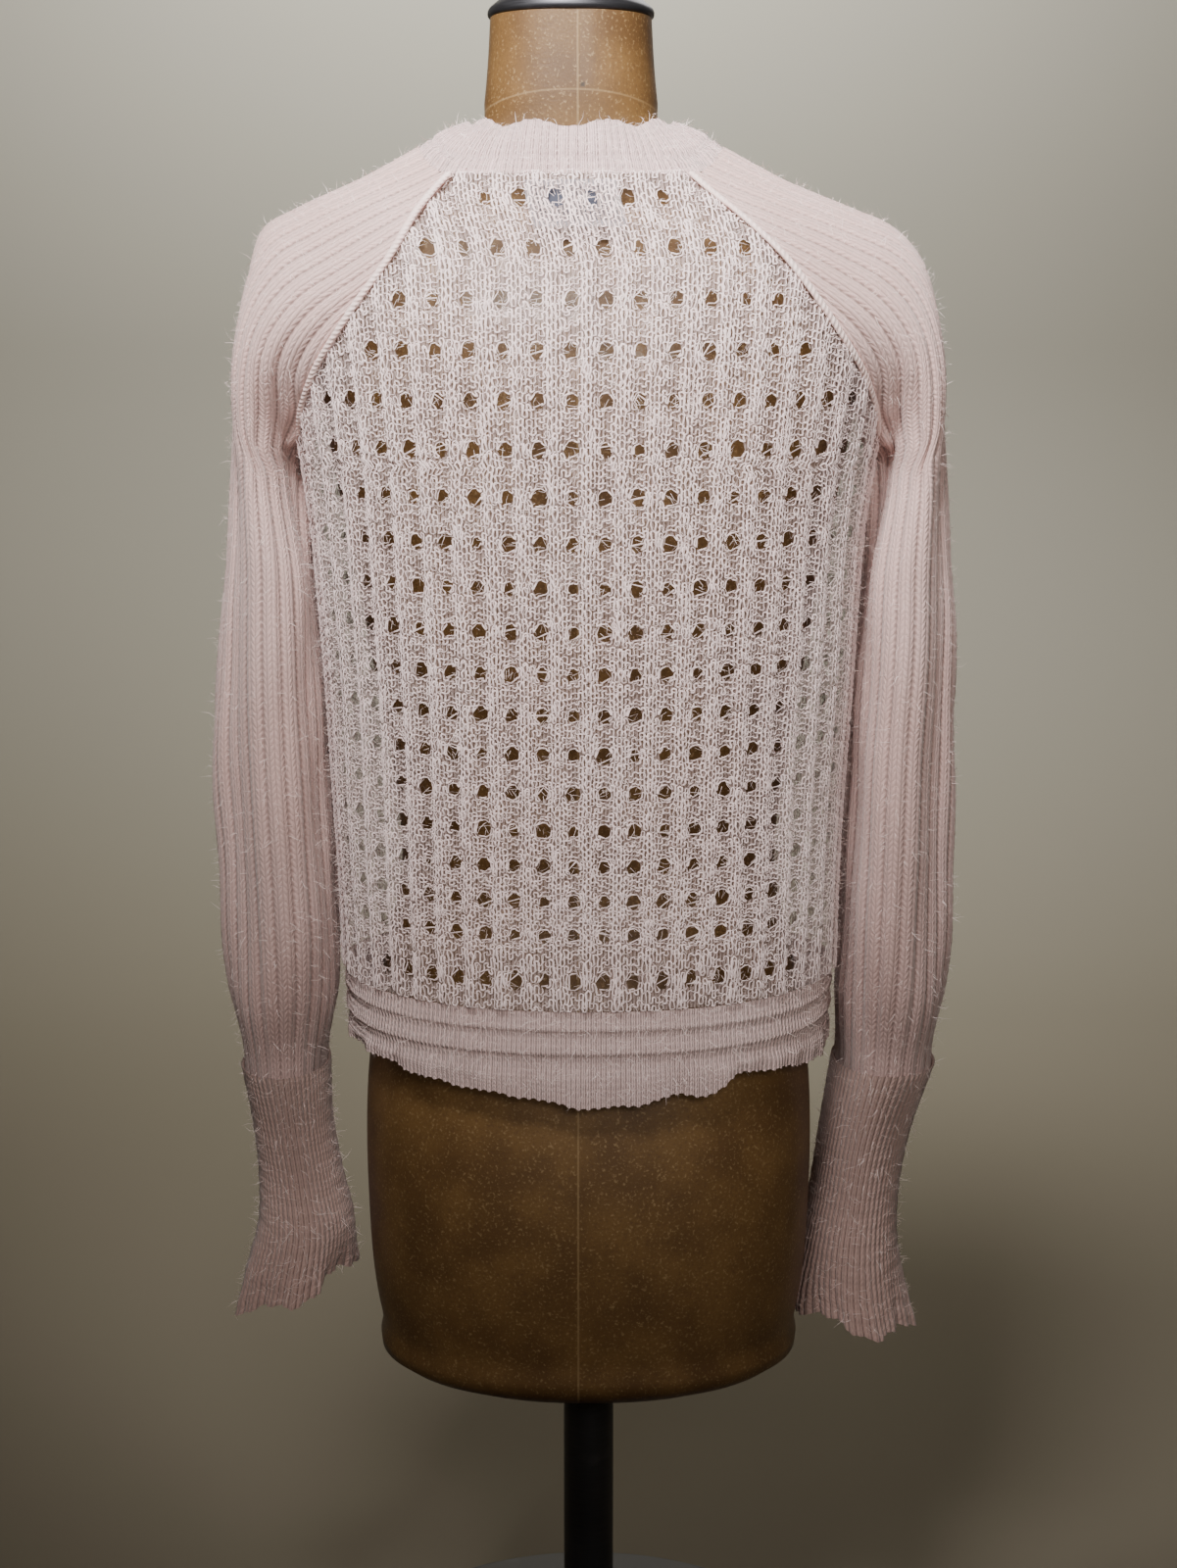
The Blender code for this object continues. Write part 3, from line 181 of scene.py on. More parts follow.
SHOULDER = Columns(
    ("station", "out", "height", "turn", "seam_reach", "top_reach"),
    (0, 0.0865, 0.9635, -38.0, 0.020, 0.020),
    (1, 0.1210, 0.9452, -30.0, 0.022, 0.032),
    (2, 0.1570, 0.9297, -18.0, 0.026, 0.044),
    (3, 0.1810, 0.9170, -4.0, 0.034, 0.054),
    (4, 0.1925, 0.8930, 14.0, 0.044, 0.062),
    (5, 0.1990, 0.8500, 34.0, 0.056, 0.070),
    (6, 0.2045, 0.7970, 74.0, 0.080, 0.081),
)
ARM = ("height", "outer", "inner", "depth", "forward")
SLEEVES = {
    Side.LEFT: Columns(
        ARM,
        (0.4215, 0.2120, 0.1605, 0.0460, 0.012),
        (0.483, 0.2180, 0.1535, 0.0530, 0.008),
        (0.550, 0.2195, 0.1545, 0.0560, 0.005),
        (0.620, 0.2215, 0.1570, 0.0570, 0.003),
        (0.690, 0.2160, 0.1615, 0.0570, 0.001),
        (0.750, 0.2085, 0.1655, 0.0560, 0.000),
    ),
    Side.RIGHT: Columns(
        ARM,
        (0.4215, 0.2125, 0.1520, 0.0480, 0.018),
        (0.483, 0.2170, 0.1530, 0.0530, 0.012),
        (0.550, 0.2172, 0.1545, 0.0560, 0.008),
        (0.620, 0.2158, 0.1570, 0.0570, 0.004),
        (0.690, 0.2155, 0.1615, 0.0570, 0.001),
        (0.750, 0.2090, 0.1655, 0.0560, 0.000),
    ),
}
CUFFS = {
    Side.LEFT: Columns(
        ARM,
        (0.2740, 0.2190, 0.1500, 0.0470, 0.026),
        (0.2880, 0.2150, 0.1490, 0.0440, 0.025),
        (0.3150, 0.2060, 0.1490, 0.0390, 0.023),
        (0.3420, 0.2046, 0.1545, 0.0350, 0.021),
        (0.3790, 0.2065, 0.1600, 0.0370, 0.017),
        (0.4210, 0.2120, 0.1605, 0.0460, 0.012),
    ),
    Side.RIGHT: Columns(
        ARM,
        (0.2530, 0.2040, 0.1275, 0.0470, 0.034),
        (0.2700, 0.1995, 0.1285, 0.0440, 0.034),
        (0.3000, 0.1940, 0.1340, 0.0400, 0.032),
        (0.3300, 0.1936, 0.1400, 0.0360, 0.029),
        (0.3700, 0.1985, 0.1450, 0.0370, 0.024),
        (0.4210, 0.2125, 0.1520, 0.0480, 0.018),
    ),
}
CUFF_TILT = {Side.LEFT: 0.42, Side.RIGHT: 0.22}
FORM = Columns(
    ("height", "half_width", "back", "front"),
    (0.2350, 0.100, 0.078, 0.078),
    (0.2430, 0.121, 0.092, 0.093),
    (0.2650, 0.127, 0.097, 0.099),
    (0.3500, 0.135, 0.108, 0.104),
    (0.4300, 0.1330, 0.103, 0.098),
    (0.5000, 0.1210, 0.090, 0.089),
    (0.5450, 0.1120, 0.080, 0.085),
    (0.6000, 0.1160, 0.083, 0.090),
    (0.6600, 0.1260, 0.091, 0.101),
    (0.7200, 0.1360, 0.098, 0.115),
    (0.7700, 0.1460, 0.102, 0.120),
    (0.8200, 0.1550, 0.102, 0.111),
    (0.8600, 0.1610, 0.096, 0.100),
    (0.8850, 0.1640, 0.086, 0.085),
    (0.9050, 0.1620, 0.075, 0.073),
    (0.9200, 0.1570, 0.064, 0.062),
    (0.9310, 0.1430, 0.053, 0.051),
    (0.9402, 0.1240, 0.046, 0.045),
    (0.9502, 0.1020, 0.042, 0.042),
    (0.9600, 0.0750, 0.0400, 0.0390),
    (0.9750, 0.0520, 0.0405, 0.0400),
    (0.9900, 0.0495, 0.0410, 0.0410),
    (1.0100, 0.0475, 0.0405, 0.0400),
    (1.0350, 0.0460, 0.0400, 0.0395),
)
HEM_EDGE = Columns(
    ("out", "rise"),
    (-0.150, 0.002),
    (-0.130, 0.006),
    (-0.110, 0.010),
    (-0.086, 0.012),
    (-0.070, 0.004),
    (-0.045, 0.004),
    (-0.020, -0.001),
    (0.005, -0.001),
    (0.035, 0.004),
    (0.065, 0.007),
    (0.095, 0.010),
    (0.125, 0.014),
    (0.150, 0.014),
)
HEM_TUCKS = Columns(
    ("drop", "raise"),
    (0.0000, 0.0000),
    (0.0065, 0.0002),
    (0.0095, 0.0007),
    (0.0113, 0.0009),
    (0.0125, 0.0002),
    (0.0200, 0.0003),
    (0.0225, 0.0007),
    (0.0244, 0.0009),
    (0.0256, 0.0002),
    (0.0400, 0.0005),
    (0.0540, 0.0000),
)
BAND_TOP = Columns(
    ("forward", "height"),
    (-0.0475, 0.973),
    (0.000, 0.9755),
    (0.040, 0.956),
    (0.070, 0.928),
    (0.088, 0.902),
    (0.0945, 0.893),
)

ROUNDNESS = 2.3
NECK_SHIFT, SHIFT_FROM, SHIFT_TO = 0.010, 0.890, 0.945
LACE_TOP, LACE_END = 0.9445, 0.4845
LACE_ROWS, UNDERARM_ROW, NECK_ROWS = 19, 6, 3
UNDERARM = 0.785
YOKE_STEPS, SIDE_STEPS = 60, 100
FRONT_EDGE = 0.0136
SLEEVE_RIBS, SLEEVE_RIB_PITCH = 25, 0.0114


def step_up(value: np.ndarray | float, low: float, high: float) -> np.ndarray:
    """0 below low, 1 above high, and 3t^2 - 2t^3 between, t being the share of the way."""
    t = np.clip((np.asarray(value, float) - low) / (high - low), 0.0, 1.0)
    return t * t * (3 - 2 * t)


def shifted(points: np.ndarray) -> np.ndarray:
    """The points with the neck and yoke moved to the wearer's left, as on the solids."""
    moved = np.array(points, float)
    moved[..., 0] += NECK_SHIFT * step_up(moved[..., 2], SHIFT_FROM, SHIFT_TO)
    return moved


def unit(vectors: np.ndarray) -> np.ndarray:
    """Each vector along the last axis at length one."""
    return vectors / np.maximum(np.linalg.norm(vectors, axis=-1, keepdims=True), 1e-12)


def on_section(shape: Columns, angle: np.ndarray, height: np.ndarray) -> np.ndarray:
    """Points on a table's round sections.

    A point is half_width * c^(2/n) across and depth * s^(2/n) along, c and s being the
    angle's cosine and sine with their signs kept, and n the roundness.

    Args:
        shape: The table of half widths and depths by height.
        angle: 0 at +X and a quarter turn at +Y, any shape of array.
        height: A height for each angle.

    Returns:
        The points, with a last axis of three.
    """
    angle, height = np.broadcast_arrays(np.asarray(angle, float), np.asarray(height, float))
    across, along = np.cos(angle), np.sin(angle)
    back, front = shape.read("back", height), shape.read("front", height)
    depth = np.where(along >= 0, back, front)
    power = 2 / ROUNDNESS
    x = shape.read("half_width", height) * np.sign(across) * np.abs(across) ** power
    y = depth * np.sign(along) * np.abs(along) ** power
    return np.stack((x, y, height), axis=-1)


def chain_length(points: np.ndarray) -> np.ndarray:
    """The length along a chain of points, or of rows of points, up to each of them."""
    steps = np.linalg.norm(np.diff(points, axis=0), axis=-1)
    steps = steps if steps.ndim == 1 else steps.mean(axis=1)
    return np.concatenate(([0.0], np.cumsum(steps)))


def quarter(height: float, side: int) -> tuple[np.ndarray, np.ndarray]:
    """Angles from the middle of the back (1) or front (-1) to the side, and lengths to them."""
    angles = np.linspace(QUARTER_TURN, 0.0, 181)
    points = on_section(BODY, side * angles, np.full(angles.shape, height))
    return angles, chain_length(points)


def seam_angle(out: float, height: float) -> float:
    """The section's angle at a distance out from the middle, on the back side."""
    share = min(1.0, out / float(BODY.read("half_width", height)))
    return math.acos(share ** (ROUNDNESS / 2))


def length_to(out: float, height: float, side: int) -> float:
    """The cloth's length from the middle of the back or front to a distance out."""
    angles, lengths = quarter(height, side)
    return float(np.interp(-seam_angle(out, height), -angles, lengths))


def row_height(row: np.ndarray | float) -> np.ndarray:
    """Height of a lace row's edge at the centre back. Rows count down from the neckband."""
    count = np.arange(LACE_ROWS)
    middles = 0.931 - 0.0287 * count + 0.00029 * count**2
    edges = np.concatenate(([LACE_TOP], (middles[1:] + middles[:-1]) / 2, [LACE_END]))
    return np.interp(row, np.arange(LACE_ROWS + 1), edges)


def row_reach(row: float) -> float:
    """The cloth's length from the centre back to the raglan or side seam on a row's edge."""
    height = float(row_height(row))
    edge = height + float(SAG.read("sag", height))
    if row < UNDERARM_ROW:
        return length_to(float(BACK_SEAM.read("out", edge)), edge, 1)
    return float(quarter(edge, 1)[1][-1])


def neckline(share: float) -> tuple[float, float]:
    """Out and height on the front neckline, from its raglan seam (0) to the band (1)."""
    half, drop, top = 0.080, 0.089, 0.955
    first, last = math.asin(0.0768 / half), math.asin(FRONT_EDGE / half)
    angle = first + (last - first) * share
    if share == 0:
        return half * math.sin(angle), 0.930
    return half * math.sin(angle), top - drop * math.cos(angle)


def front_on_body(out: float, height: float) -> np.ndarray:
    """The front surface's point at a distance out, whose sign is its side."""
    point = on_section(BODY, np.array(-seam_angle(abs(out), height)), np.array(height))
    point[0] = math.copysign(point[0], out)
    return point


def grid_normals(points: np.ndarray) -> np.ndarray:
    """Unit normals of a grid of points, the cross product of its two directions."""
    return unit(np.cross(np.gradient(points, axis=0), np.gradient(points, axis=1)))


def outer_normals(points: np.ndarray, inside: np.ndarray) -> np.ndarray:
    """The grid's normals, each turned away from the inner point given for it."""
    normals = grid_normals(points)
    return normals * np.sign(np.sum(normals * (points - inside), axis=-1, keepdims=True))


class Chart:
    """A smooth surface kept as a fine grid, read at any share across (u) and down (v)."""

    def __init__(self, points: np.ndarray, outward: Callable[[np.ndarray], np.ndarray]) -> None:
        """Keeps the grid and its normals.

        Args:
            points: Rows by columns by three, v along the rows and u along the columns.
            outward: Gives a rough outward direction for points, to settle the sign.
        """
        self.points = points
        normals = grid_normals(points)
        middle = points.shape[0] // 2, points.shape[1] // 2
        rough = outward(points[middle])
        self.normals = normals if float(np.dot(normals[middle], rough)) > 0 else -normals

    def read(self, u: np.ndarray, v: np.ndarray) -> tuple[np.ndarray, np.ndarray]:
        """Points and normals at shares u and v, mixed from the four nearest of the grid."""
        rows, columns = self.points.shape[:2]
        across = np.clip(u, 0, 1) * (columns - 1)
        down = np.clip(v, 0, 1) * (rows - 1)
        c = np.minimum(across.astype(int), columns - 2)
        r = np.minimum(down.astype(int), rows - 2)
        s, t = (across - c)[..., None], (down - r)[..., None]

        def mixed(values: np.ndarray) -> np.ndarray:
            """The four nearest values, each weighed by the share on its side."""
            above = values[r, c] * (1 - s) + values[r, c + 1] * s
            below = values[r + 1, c] * (1 - s) + values[r + 1, c + 1] * s
            return above * (1 - t) + below * t

        return mixed(self.points), unit(mixed(self.normals))


def back_chart(rows: int = 191, columns: int = 257) -> Chart:
    """The back panel's surface: u runs from the right seam to the left one, v down the rows."""
    found = []
    for row in np.linspace(0, LACE_ROWS, rows):
        reach, height = row_reach(row), float(row_height(row))
        sag = float(SAG.read("sag", height))
        distance = np.linspace(-reach, reach, columns)
        angles, lengths = quarter(height + sag, 1)
        angle = np.interp(np.abs(distance), lengths, angles)
        points = on_section(BODY, angle, height + sag * (distance / reach) ** 2)
        points[:, 0] = np.copysign(points[:, 0], distance)
        found.append(points)
    return Chart(np.array(found), lambda point: np.array((0.0, 1.0, 0.0)))


@dataclass(frozen=True)
class FrontRow:
    """One line across a front panel, from its centre edge to its seam."""

    out: float
    start: float
    end: float
    last: float

    @property
    def first(self) -> float:
        """The cloth's length from the middle of the front to the line's start."""
        return length_to(self.out, self.start, -1)


def yoke_row(row: float) -> FrontRow:
    """A front panel's line between the neckband (row 0) and the underarm."""
    out, start = neckline(min(1.0, row / NECK_ROWS))
    if row > NECK_ROWS:
        start = float(np.interp(row, (NECK_ROWS, UNDERARM_ROW), (neckline(1)[1], UNDERARM)))
    end = float(FRONT_SEAM.read("height", row))
    if row < UNDERARM_ROW:
        return FrontRow(out, start, end, length_to(float(FRONT_SEAM.read("out", row)), end, -1))
    return FrontRow(out, start, end, float(quarter(end, -1)[1][-1]))


def side_row(height: float) -> FrontRow:
    """A front panel's line at a height below the underarm."""
    end = height + float(SAG.read("sag", height))
    return FrontRow(FRONT_EDGE, height, end, float(quarter(end, -1)[1][-1]))


def front_chart(side: Side, columns: int = 129) -> Chart:
    """A front panel's surface: u runs from the centre edge to the side, v down the panel."""
    found = []
    lines = [yoke_row(row) for row in np.linspace(0, UNDERARM_ROW, YOKE_STEPS + 1)]
    lines += [side_row(float(height)) for height in np.linspace(UNDERARM, LACE_END, SIDE_STEPS + 1)[1:]]
    for line in lines:
        share = np.linspace(0, 1, columns)
        distance = line.first + (line.last - line.first) * share
        start_angles, start_lengths = quarter(line.start, -1)
        end_angles, end_lengths = quarter(line.end, -1)
        angle = (1 - share) * np.interp(distance, start_lengths, start_angles)
        angle += share * np.interp(distance, end_lengths, end_angles)
        points = on_section(BODY, -angle, line.start + (line.end - line.start) * share)
        points[:, 0] *= side.value
        found.append(points)
    return Chart(np.array(found), lambda point: np.array((0.0, -1.0, 0.0)))


def bezier(start: np.ndarray, leave: np.ndarray, arrive: np.ndarray, end: np.ndarray) -> np.ndarray:
    """Points along a cubic curve, evenly spaced by length."""
    t = np.linspace(0.0, 1.0, 121)[:, None]
    curve = (1 - t) ** 3 * start + 3 * t * (1 - t) ** 2 * leave
    curve = curve + 3 * t * t * (1 - t) * arrive + t**3 * end
    return evenly(curve, 81)


def evenly(curve: np.ndarray, count: int) -> np.ndarray:
    """A chain of points with the given number of points, evenly spaced by length."""
    lengths = chain_length(curve)
    at = np.linspace(0.0, lengths[-1], count)
    return np.stack([np.interp(at, lengths, curve[:, axis]) for axis in range(3)], axis=1)


def seam_point(side: Side, back: int, station: float) -> np.ndarray:
    """The raglan seam's point at a station from the neck (0) to the underarm (6)."""
    if back > 0:
        height = float(row_height(station))
        edge = height + float(SAG.read("sag", height))
        angle = seam_angle(float(BACK_SEAM.read("out", edge)), edge)
        point = on_section(BODY, np.array(angle), np.array(edge))
    else:
        out = float(FRONT_SEAM.read("out", station))
        height = float(FRONT_SEAM.read("height", station))
        point = on_section(BODY, np.array(-seam_angle(out, height)), np.array(height))
    point[1] *= 1 - step_up(station, UNDERARM_ROW - 0.6, UNDERARM_ROW)
    return point * (side.value, 1, 1)


def shoulder_half(side: Side, back: int, station: float) -> np.ndarray:
    """Half a sleeve ring over the shoulder, from its raglan seam to the highest line."""
    seam = seam_point(side, back, station)
    turn = math.radians(float(SHOULDER.read("turn", station)))
    leave = np.array((side.value * math.cos(turn), back * math.sin(turn), 0.0))
    out, height = (float(SHOULDER.read(name, station)) for name in ("out", "height"))
    top = np.array((side.value * out, 0.0, height))
    reach = np.array((0.0, back * float(SHOULDER.read("top_reach", station)), 0.0))
    leave = leave * float(SHOULDER.read("seam_reach", station))
    return bezier(seam, seam + leave, top + reach, top)


def arm_half(shape: Columns, side: Side, back: int, height: float) -> np.ndarray:
    """Half a closed ring of a sleeve or cuff, from its inner line to its outer line."""
    outer, inner, depth, forward = (
        float(shape.read(name, height)) for name in ("outer", "inner", "depth", "forward")
    )
    start = np.array((side.value * inner, -forward, height))
    end = np.array((side.value * outer, -forward, height))
    reach = np.array((0.0, back * depth * 4 / 3, 0.0))
    return bezier(start, start + reach, end + reach, end)


def joined_halves(halves: dict[int, np.ndarray]) -> np.ndarray:
    """A whole ring: the back half to the highest line, then the front half from it."""
    return np.concatenate((halves[1], halves[-1][-2::-1]))


def quad_faces(rows: int, columns: int, tube: bool = False, keep: np.ndarray | None = None) -> np.ndarray:
    """Faces of a grid, four corners each.

    Args:
        rows: Rows of points.
        columns: Columns of points.
        tube: Whether the last column is the first one.
        keep: Rows - 1 by columns - 1, false where a face is left out.

    Returns:
        An array of four indices for each face.
    """
    index = np.arange(rows * columns).reshape(rows, columns)
    if tube:
        index[:, -1] = index[:, 0]
    faces = np.stack((index[:-1, :-1], index[1:, :-1], index[1:, 1:], index[:-1, 1:]), axis=-1)
    return faces.reshape(-1, 4) if keep is None else faces[keep]


def mesh_object(
    name: str,
    points: np.ndarray,
    faces: np.ndarray,
    uv: np.ndarray | None = None,
) -> Piece:
    """Makes a smooth-shaded mesh object from arrays.

    Args:
        name: The piece's name.
        points: Points by three, before the yoke's shift.
        faces: Faces by their number of corners, all alike.
        uv: A pair for each point.

    Returns:
        The object, at the origin.
    """
    points = shifted(points.reshape(-1, 3))
    used, lookup = np.unique(faces.reshape(-1), return_inverse=True)
    corners = faces.shape[1]
    mesh = bpy.data.meshes.new(name)
    mesh.vertices.add(len(used))
    mesh.vertices.foreach_set("co", points[used].astype(np.float32).ravel())
    mesh.loops.add(len(lookup))
    mesh.loops.foreach_set("vertex_index", lookup.astype(np.int32).ravel())
    mesh.polygons.add(len(faces))
    mesh.polygons.foreach_set("loop_start", np.arange(0, len(lookup.ravel()), corners, dtype=np.int32))
    mesh.update(calc_edges=True)
    if uv is not None:
        values = uv.reshape(-1, 2)[faces.ravel()]
        layer = mesh.uv_layers.new(name="cloth")
        layer.data.foreach_set("uv", np.asarray(values, np.float32).ravel())
    mesh.validate(clean_customdata=False)
    mesh.shade_smooth()
    obj = bpy.data.objects.new(name, mesh)
    bpy.context.scene.collection.objects.link(obj)
    return obj


def dress(obj: Piece, finish: "Finish", nodes: Sequence[str] = ()) -> Piece:
    """Gives a piece its finish and body, and hides the solids it stands for.

    Args:
        obj: The piece.
        finish: What it is made of.
        nodes: The solids that it stands for.

    Returns:
        The piece again.
    """
    obj.data.materials.append(finish.material())
    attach(obj, BODY_NAME)
    if nodes:
        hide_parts(*nodes)
    LOG.info("%s: %d faces", obj.name, len(obj.data.polygons))
    return obj


class NodeWork:
    """Short calls that add and join nodes in a tree."""

    def __init__(self, tree: bpy.types.NodeTree) -> None:
        """Works on the given tree."""
        self.tree = tree

    def add(self, kind: str, **values: object) -> bpy.types.Node:
        """Adds a node and sets its named properties."""
        node = self.tree.nodes.new(kind)
        for name, value in values.items():
            setattr(node, name, value)
        return node

    def put(self, value: object, socket: Socket) -> None:
        """Joins an output to the input, or keeps a number or a colour on it."""
        if isinstance(value, Socket):
            self.tree.links.new(value, socket)
        elif isinstance(value, tuple) and len(value) < len(socket.default_value):
            socket.default_value = (*value, 1.0)
        else:
            socket.default_value = value

    def feed(self, node: bpy.types.Node, **values: object) -> None:
        """Puts values on the inputs of those names, whose spaces are written as underscores."""
        for name, value in values.items():
            self.put(value, node.inputs[name.replace("_", " ")])

    def math(self, operation: str, *values: object) -> Socket:
        """A Math node on sockets or numbers, and its output."""
        node = self.add("ShaderNodeMath", operation=operation)
        for socket, value in zip(node.inputs, values):
            self.put(value, socket)
        return node.outputs[0]

    def times(self, first: object, second: object) -> Socket:
        """The product of two values."""
        return self.math("MULTIPLY", first, second)

    def plus(self, first: object, second: object) -> Socket:
        """The sum of two values."""
        return self.math("ADD", first, second)

    def minus(self, first: object, second: object) -> Socket:
        """The first value less the second."""
        return self.math("SUBTRACT", first, second)

    def off(self, value: object, middle: object) -> Socket:
        """How far a value is from a middle one."""
        return self.math("ABSOLUTE", self.minus(value, middle))

    def ramp(self, value: Socket, low: float, high: float) -> Socket:
        """A smooth rise of a value from 0 at low to 1 at high."""
        node = self.add("ShaderNodeMapRange", interpolation_type="SMOOTHSTEP")
        self.feed(node, Value=value, From_Min=low, From_Max=high)
        return node.outputs["Result"]

    def mix(self, share: object, first: object, second: object) -> Socket:
        """A colour between two, by a share."""
        node = self.add("ShaderNodeMix", data_type="RGBA")
        for number, value in ((0, share), (6, first), (7, second)):
            self.put(value, node.inputs[number])
        return node.outputs[2]

    def noise(self, vector: Socket, scale: float, detail: float = 2.0) -> Socket:
        """A noise value on a vector."""
        node = self.add("ShaderNodeTexNoise")
        self.feed(node, Vector=vector, Scale=scale, Detail=detail)
        return node.outputs["Fac"]

    def axes(self, vector: Socket) -> list[Socket]:
        """A vector's three parts."""
        node = self.add("ShaderNodeSeparateXYZ")
        self.put(vector, node.inputs[0])
        return list(node.outputs)

    def bump(self, height: Socket, strength: float, distance: float) -> Socket:
        """A normal that follows a height."""
        node = self.add("ShaderNodeBump")
        self.feed(node, Height=height, Strength=strength, Distance=distance)
        return node.outputs["Normal"]

    def group(
        self, make: Callable[[str], bpy.types.NodeTree], name: str, **values: object
    ) -> bpy.types.NodeOutputs:
        """A shared group's outputs. The group is made at its first use."""
        node = self.add("ShaderNodeGroup", node_tree=bpy.data.node_groups.get(name) or make(name))
        self.feed(node, **values)
        return node.outputs


def new_group(name: str, inputs: dict[str, float | None], outputs: Sequence[str]) -> NodeWork:
    """A shader node group that puts out values. An input is a number, or at None a vector."""
    tree = bpy.data.node_groups.new(name, "ShaderNodeTree")
    for label, value in inputs.items():
        kind = "NodeSocketVector" if value is None else "NodeSocketFloat"
        socket = tree.interface.new_socket(label, in_out="INPUT", socket_type=kind)
        if value is not None:
            socket.default_value = value
    for label in outputs:
        tree.interface.new_socket(label, in_out="OUTPUT", socket_type="NodeSocketFloat")
    tree.nodes.new("NodeGroupInput")
    tree.nodes.new("NodeGroupOutput")
    return NodeWork(tree)


def stitch_group(name: str) -> bpy.types.NodeTree:
    """Plain knitting on a UV map that counts stitches across and courses down.

    A stitch is a V: its height is a rounded ridge along lines that rise from the middle of
    the stitch to both sides, so a course's phase is v plus the distance from the middle.
    """
    work = new_group(name, {"UV": None, "Slant": 2.0}, ("Height", "Gap"))
    start, end = work.tree.nodes["Group Input"], work.tree.nodes["Group Output"]
    x, y, _ = work.axes(start.outputs["UV"])
    bend = work.times(work.minus(work.noise(start.outputs["UV"], 0.35), 0.5), 1.1)
    side = work.off(work.math("FRACT", x), 0.5)
    course = work.plus(work.plus(y, bend), work.times(side, start.outputs["Slant"]))
    phase = work.off(work.math("FRACT", course), 0.5)
    ridge = work.minus(1.0, work.math("POWER", work.times(phase, 2.0), 2.0))
    narrow = work.minus(1.0, work.math("POWER", work.times(work.off(side, 0.25), 4.0), 2.0))
    height = work.times(narrow, work.plus(0.45, work.times(ridge, 0.55)))
    work.feed(end, Height=height, Gap=work.ramp(height, 0.45, 0.05))
    return work.tree


def mohair_group(name: str) -> bpy.types.NodeTree:
    """Uneven brushed wool: a slow blotch of tone and a fine fleck, on object coordinates."""
    work = new_group(name, {"Object": None, "Blotch": 0.5}, ("Tone", "Fleck"))
    start, end = work.tree.nodes["Group Input"], work.tree.nodes["Group Output"]
    slow = work.ramp(work.noise(start.outputs["Object"], 14.0, 3.0), 0.3, 0.7)
    fine = work.ramp(work.noise(start.outputs["Object"], 900.0), 0.35, 0.65)
    work.feed(end, Tone=work.times(slow, start.outputs["Blotch"]), Fleck=fine)
    return work.tree


class Finish:
    """A material that is made at its first use, under the finish's own name, and its slot."""

    name: str
    slot: Slot

    def material(self) -> bpy.types.Material:
        """The finish as a material."""
        known = bpy.data.materials.get(self.name)
        if known is not None:
            return known
        made = bpy.data.materials.new(self.name)
        made.use_nodes = True
        work = NodeWork(made.node_tree)
        places = work.add("ShaderNodeTexCoord").outputs
        work.feed(made.node_tree.nodes["Principled BSDF"], **self.look(work, places["Object"], places["UV"]))
        return made

    def look(self, work: NodeWork, spot: Socket, cloth: Socket) -> dict[str, object]:
        """What the shader's inputs take.

        Args:
            work: The material's nodes.
            spot: The place in the shared frame.
            cloth: The place on the piece's own cloth, from its UV map.

        Returns:
            A socket or a value for each named input.
        """
        raise NotImplementedError


WALL_OUT = 0.0010
STITCHES_IN_CELL, COURSES_IN_ROW = 4, 6
PANEL_ROWS = 96
EYELET_WIDE, EYELET_TALL = 0.0036, 0.0040
LACE_RIB = 0.0021
YARN_WIDTH = 0.00042


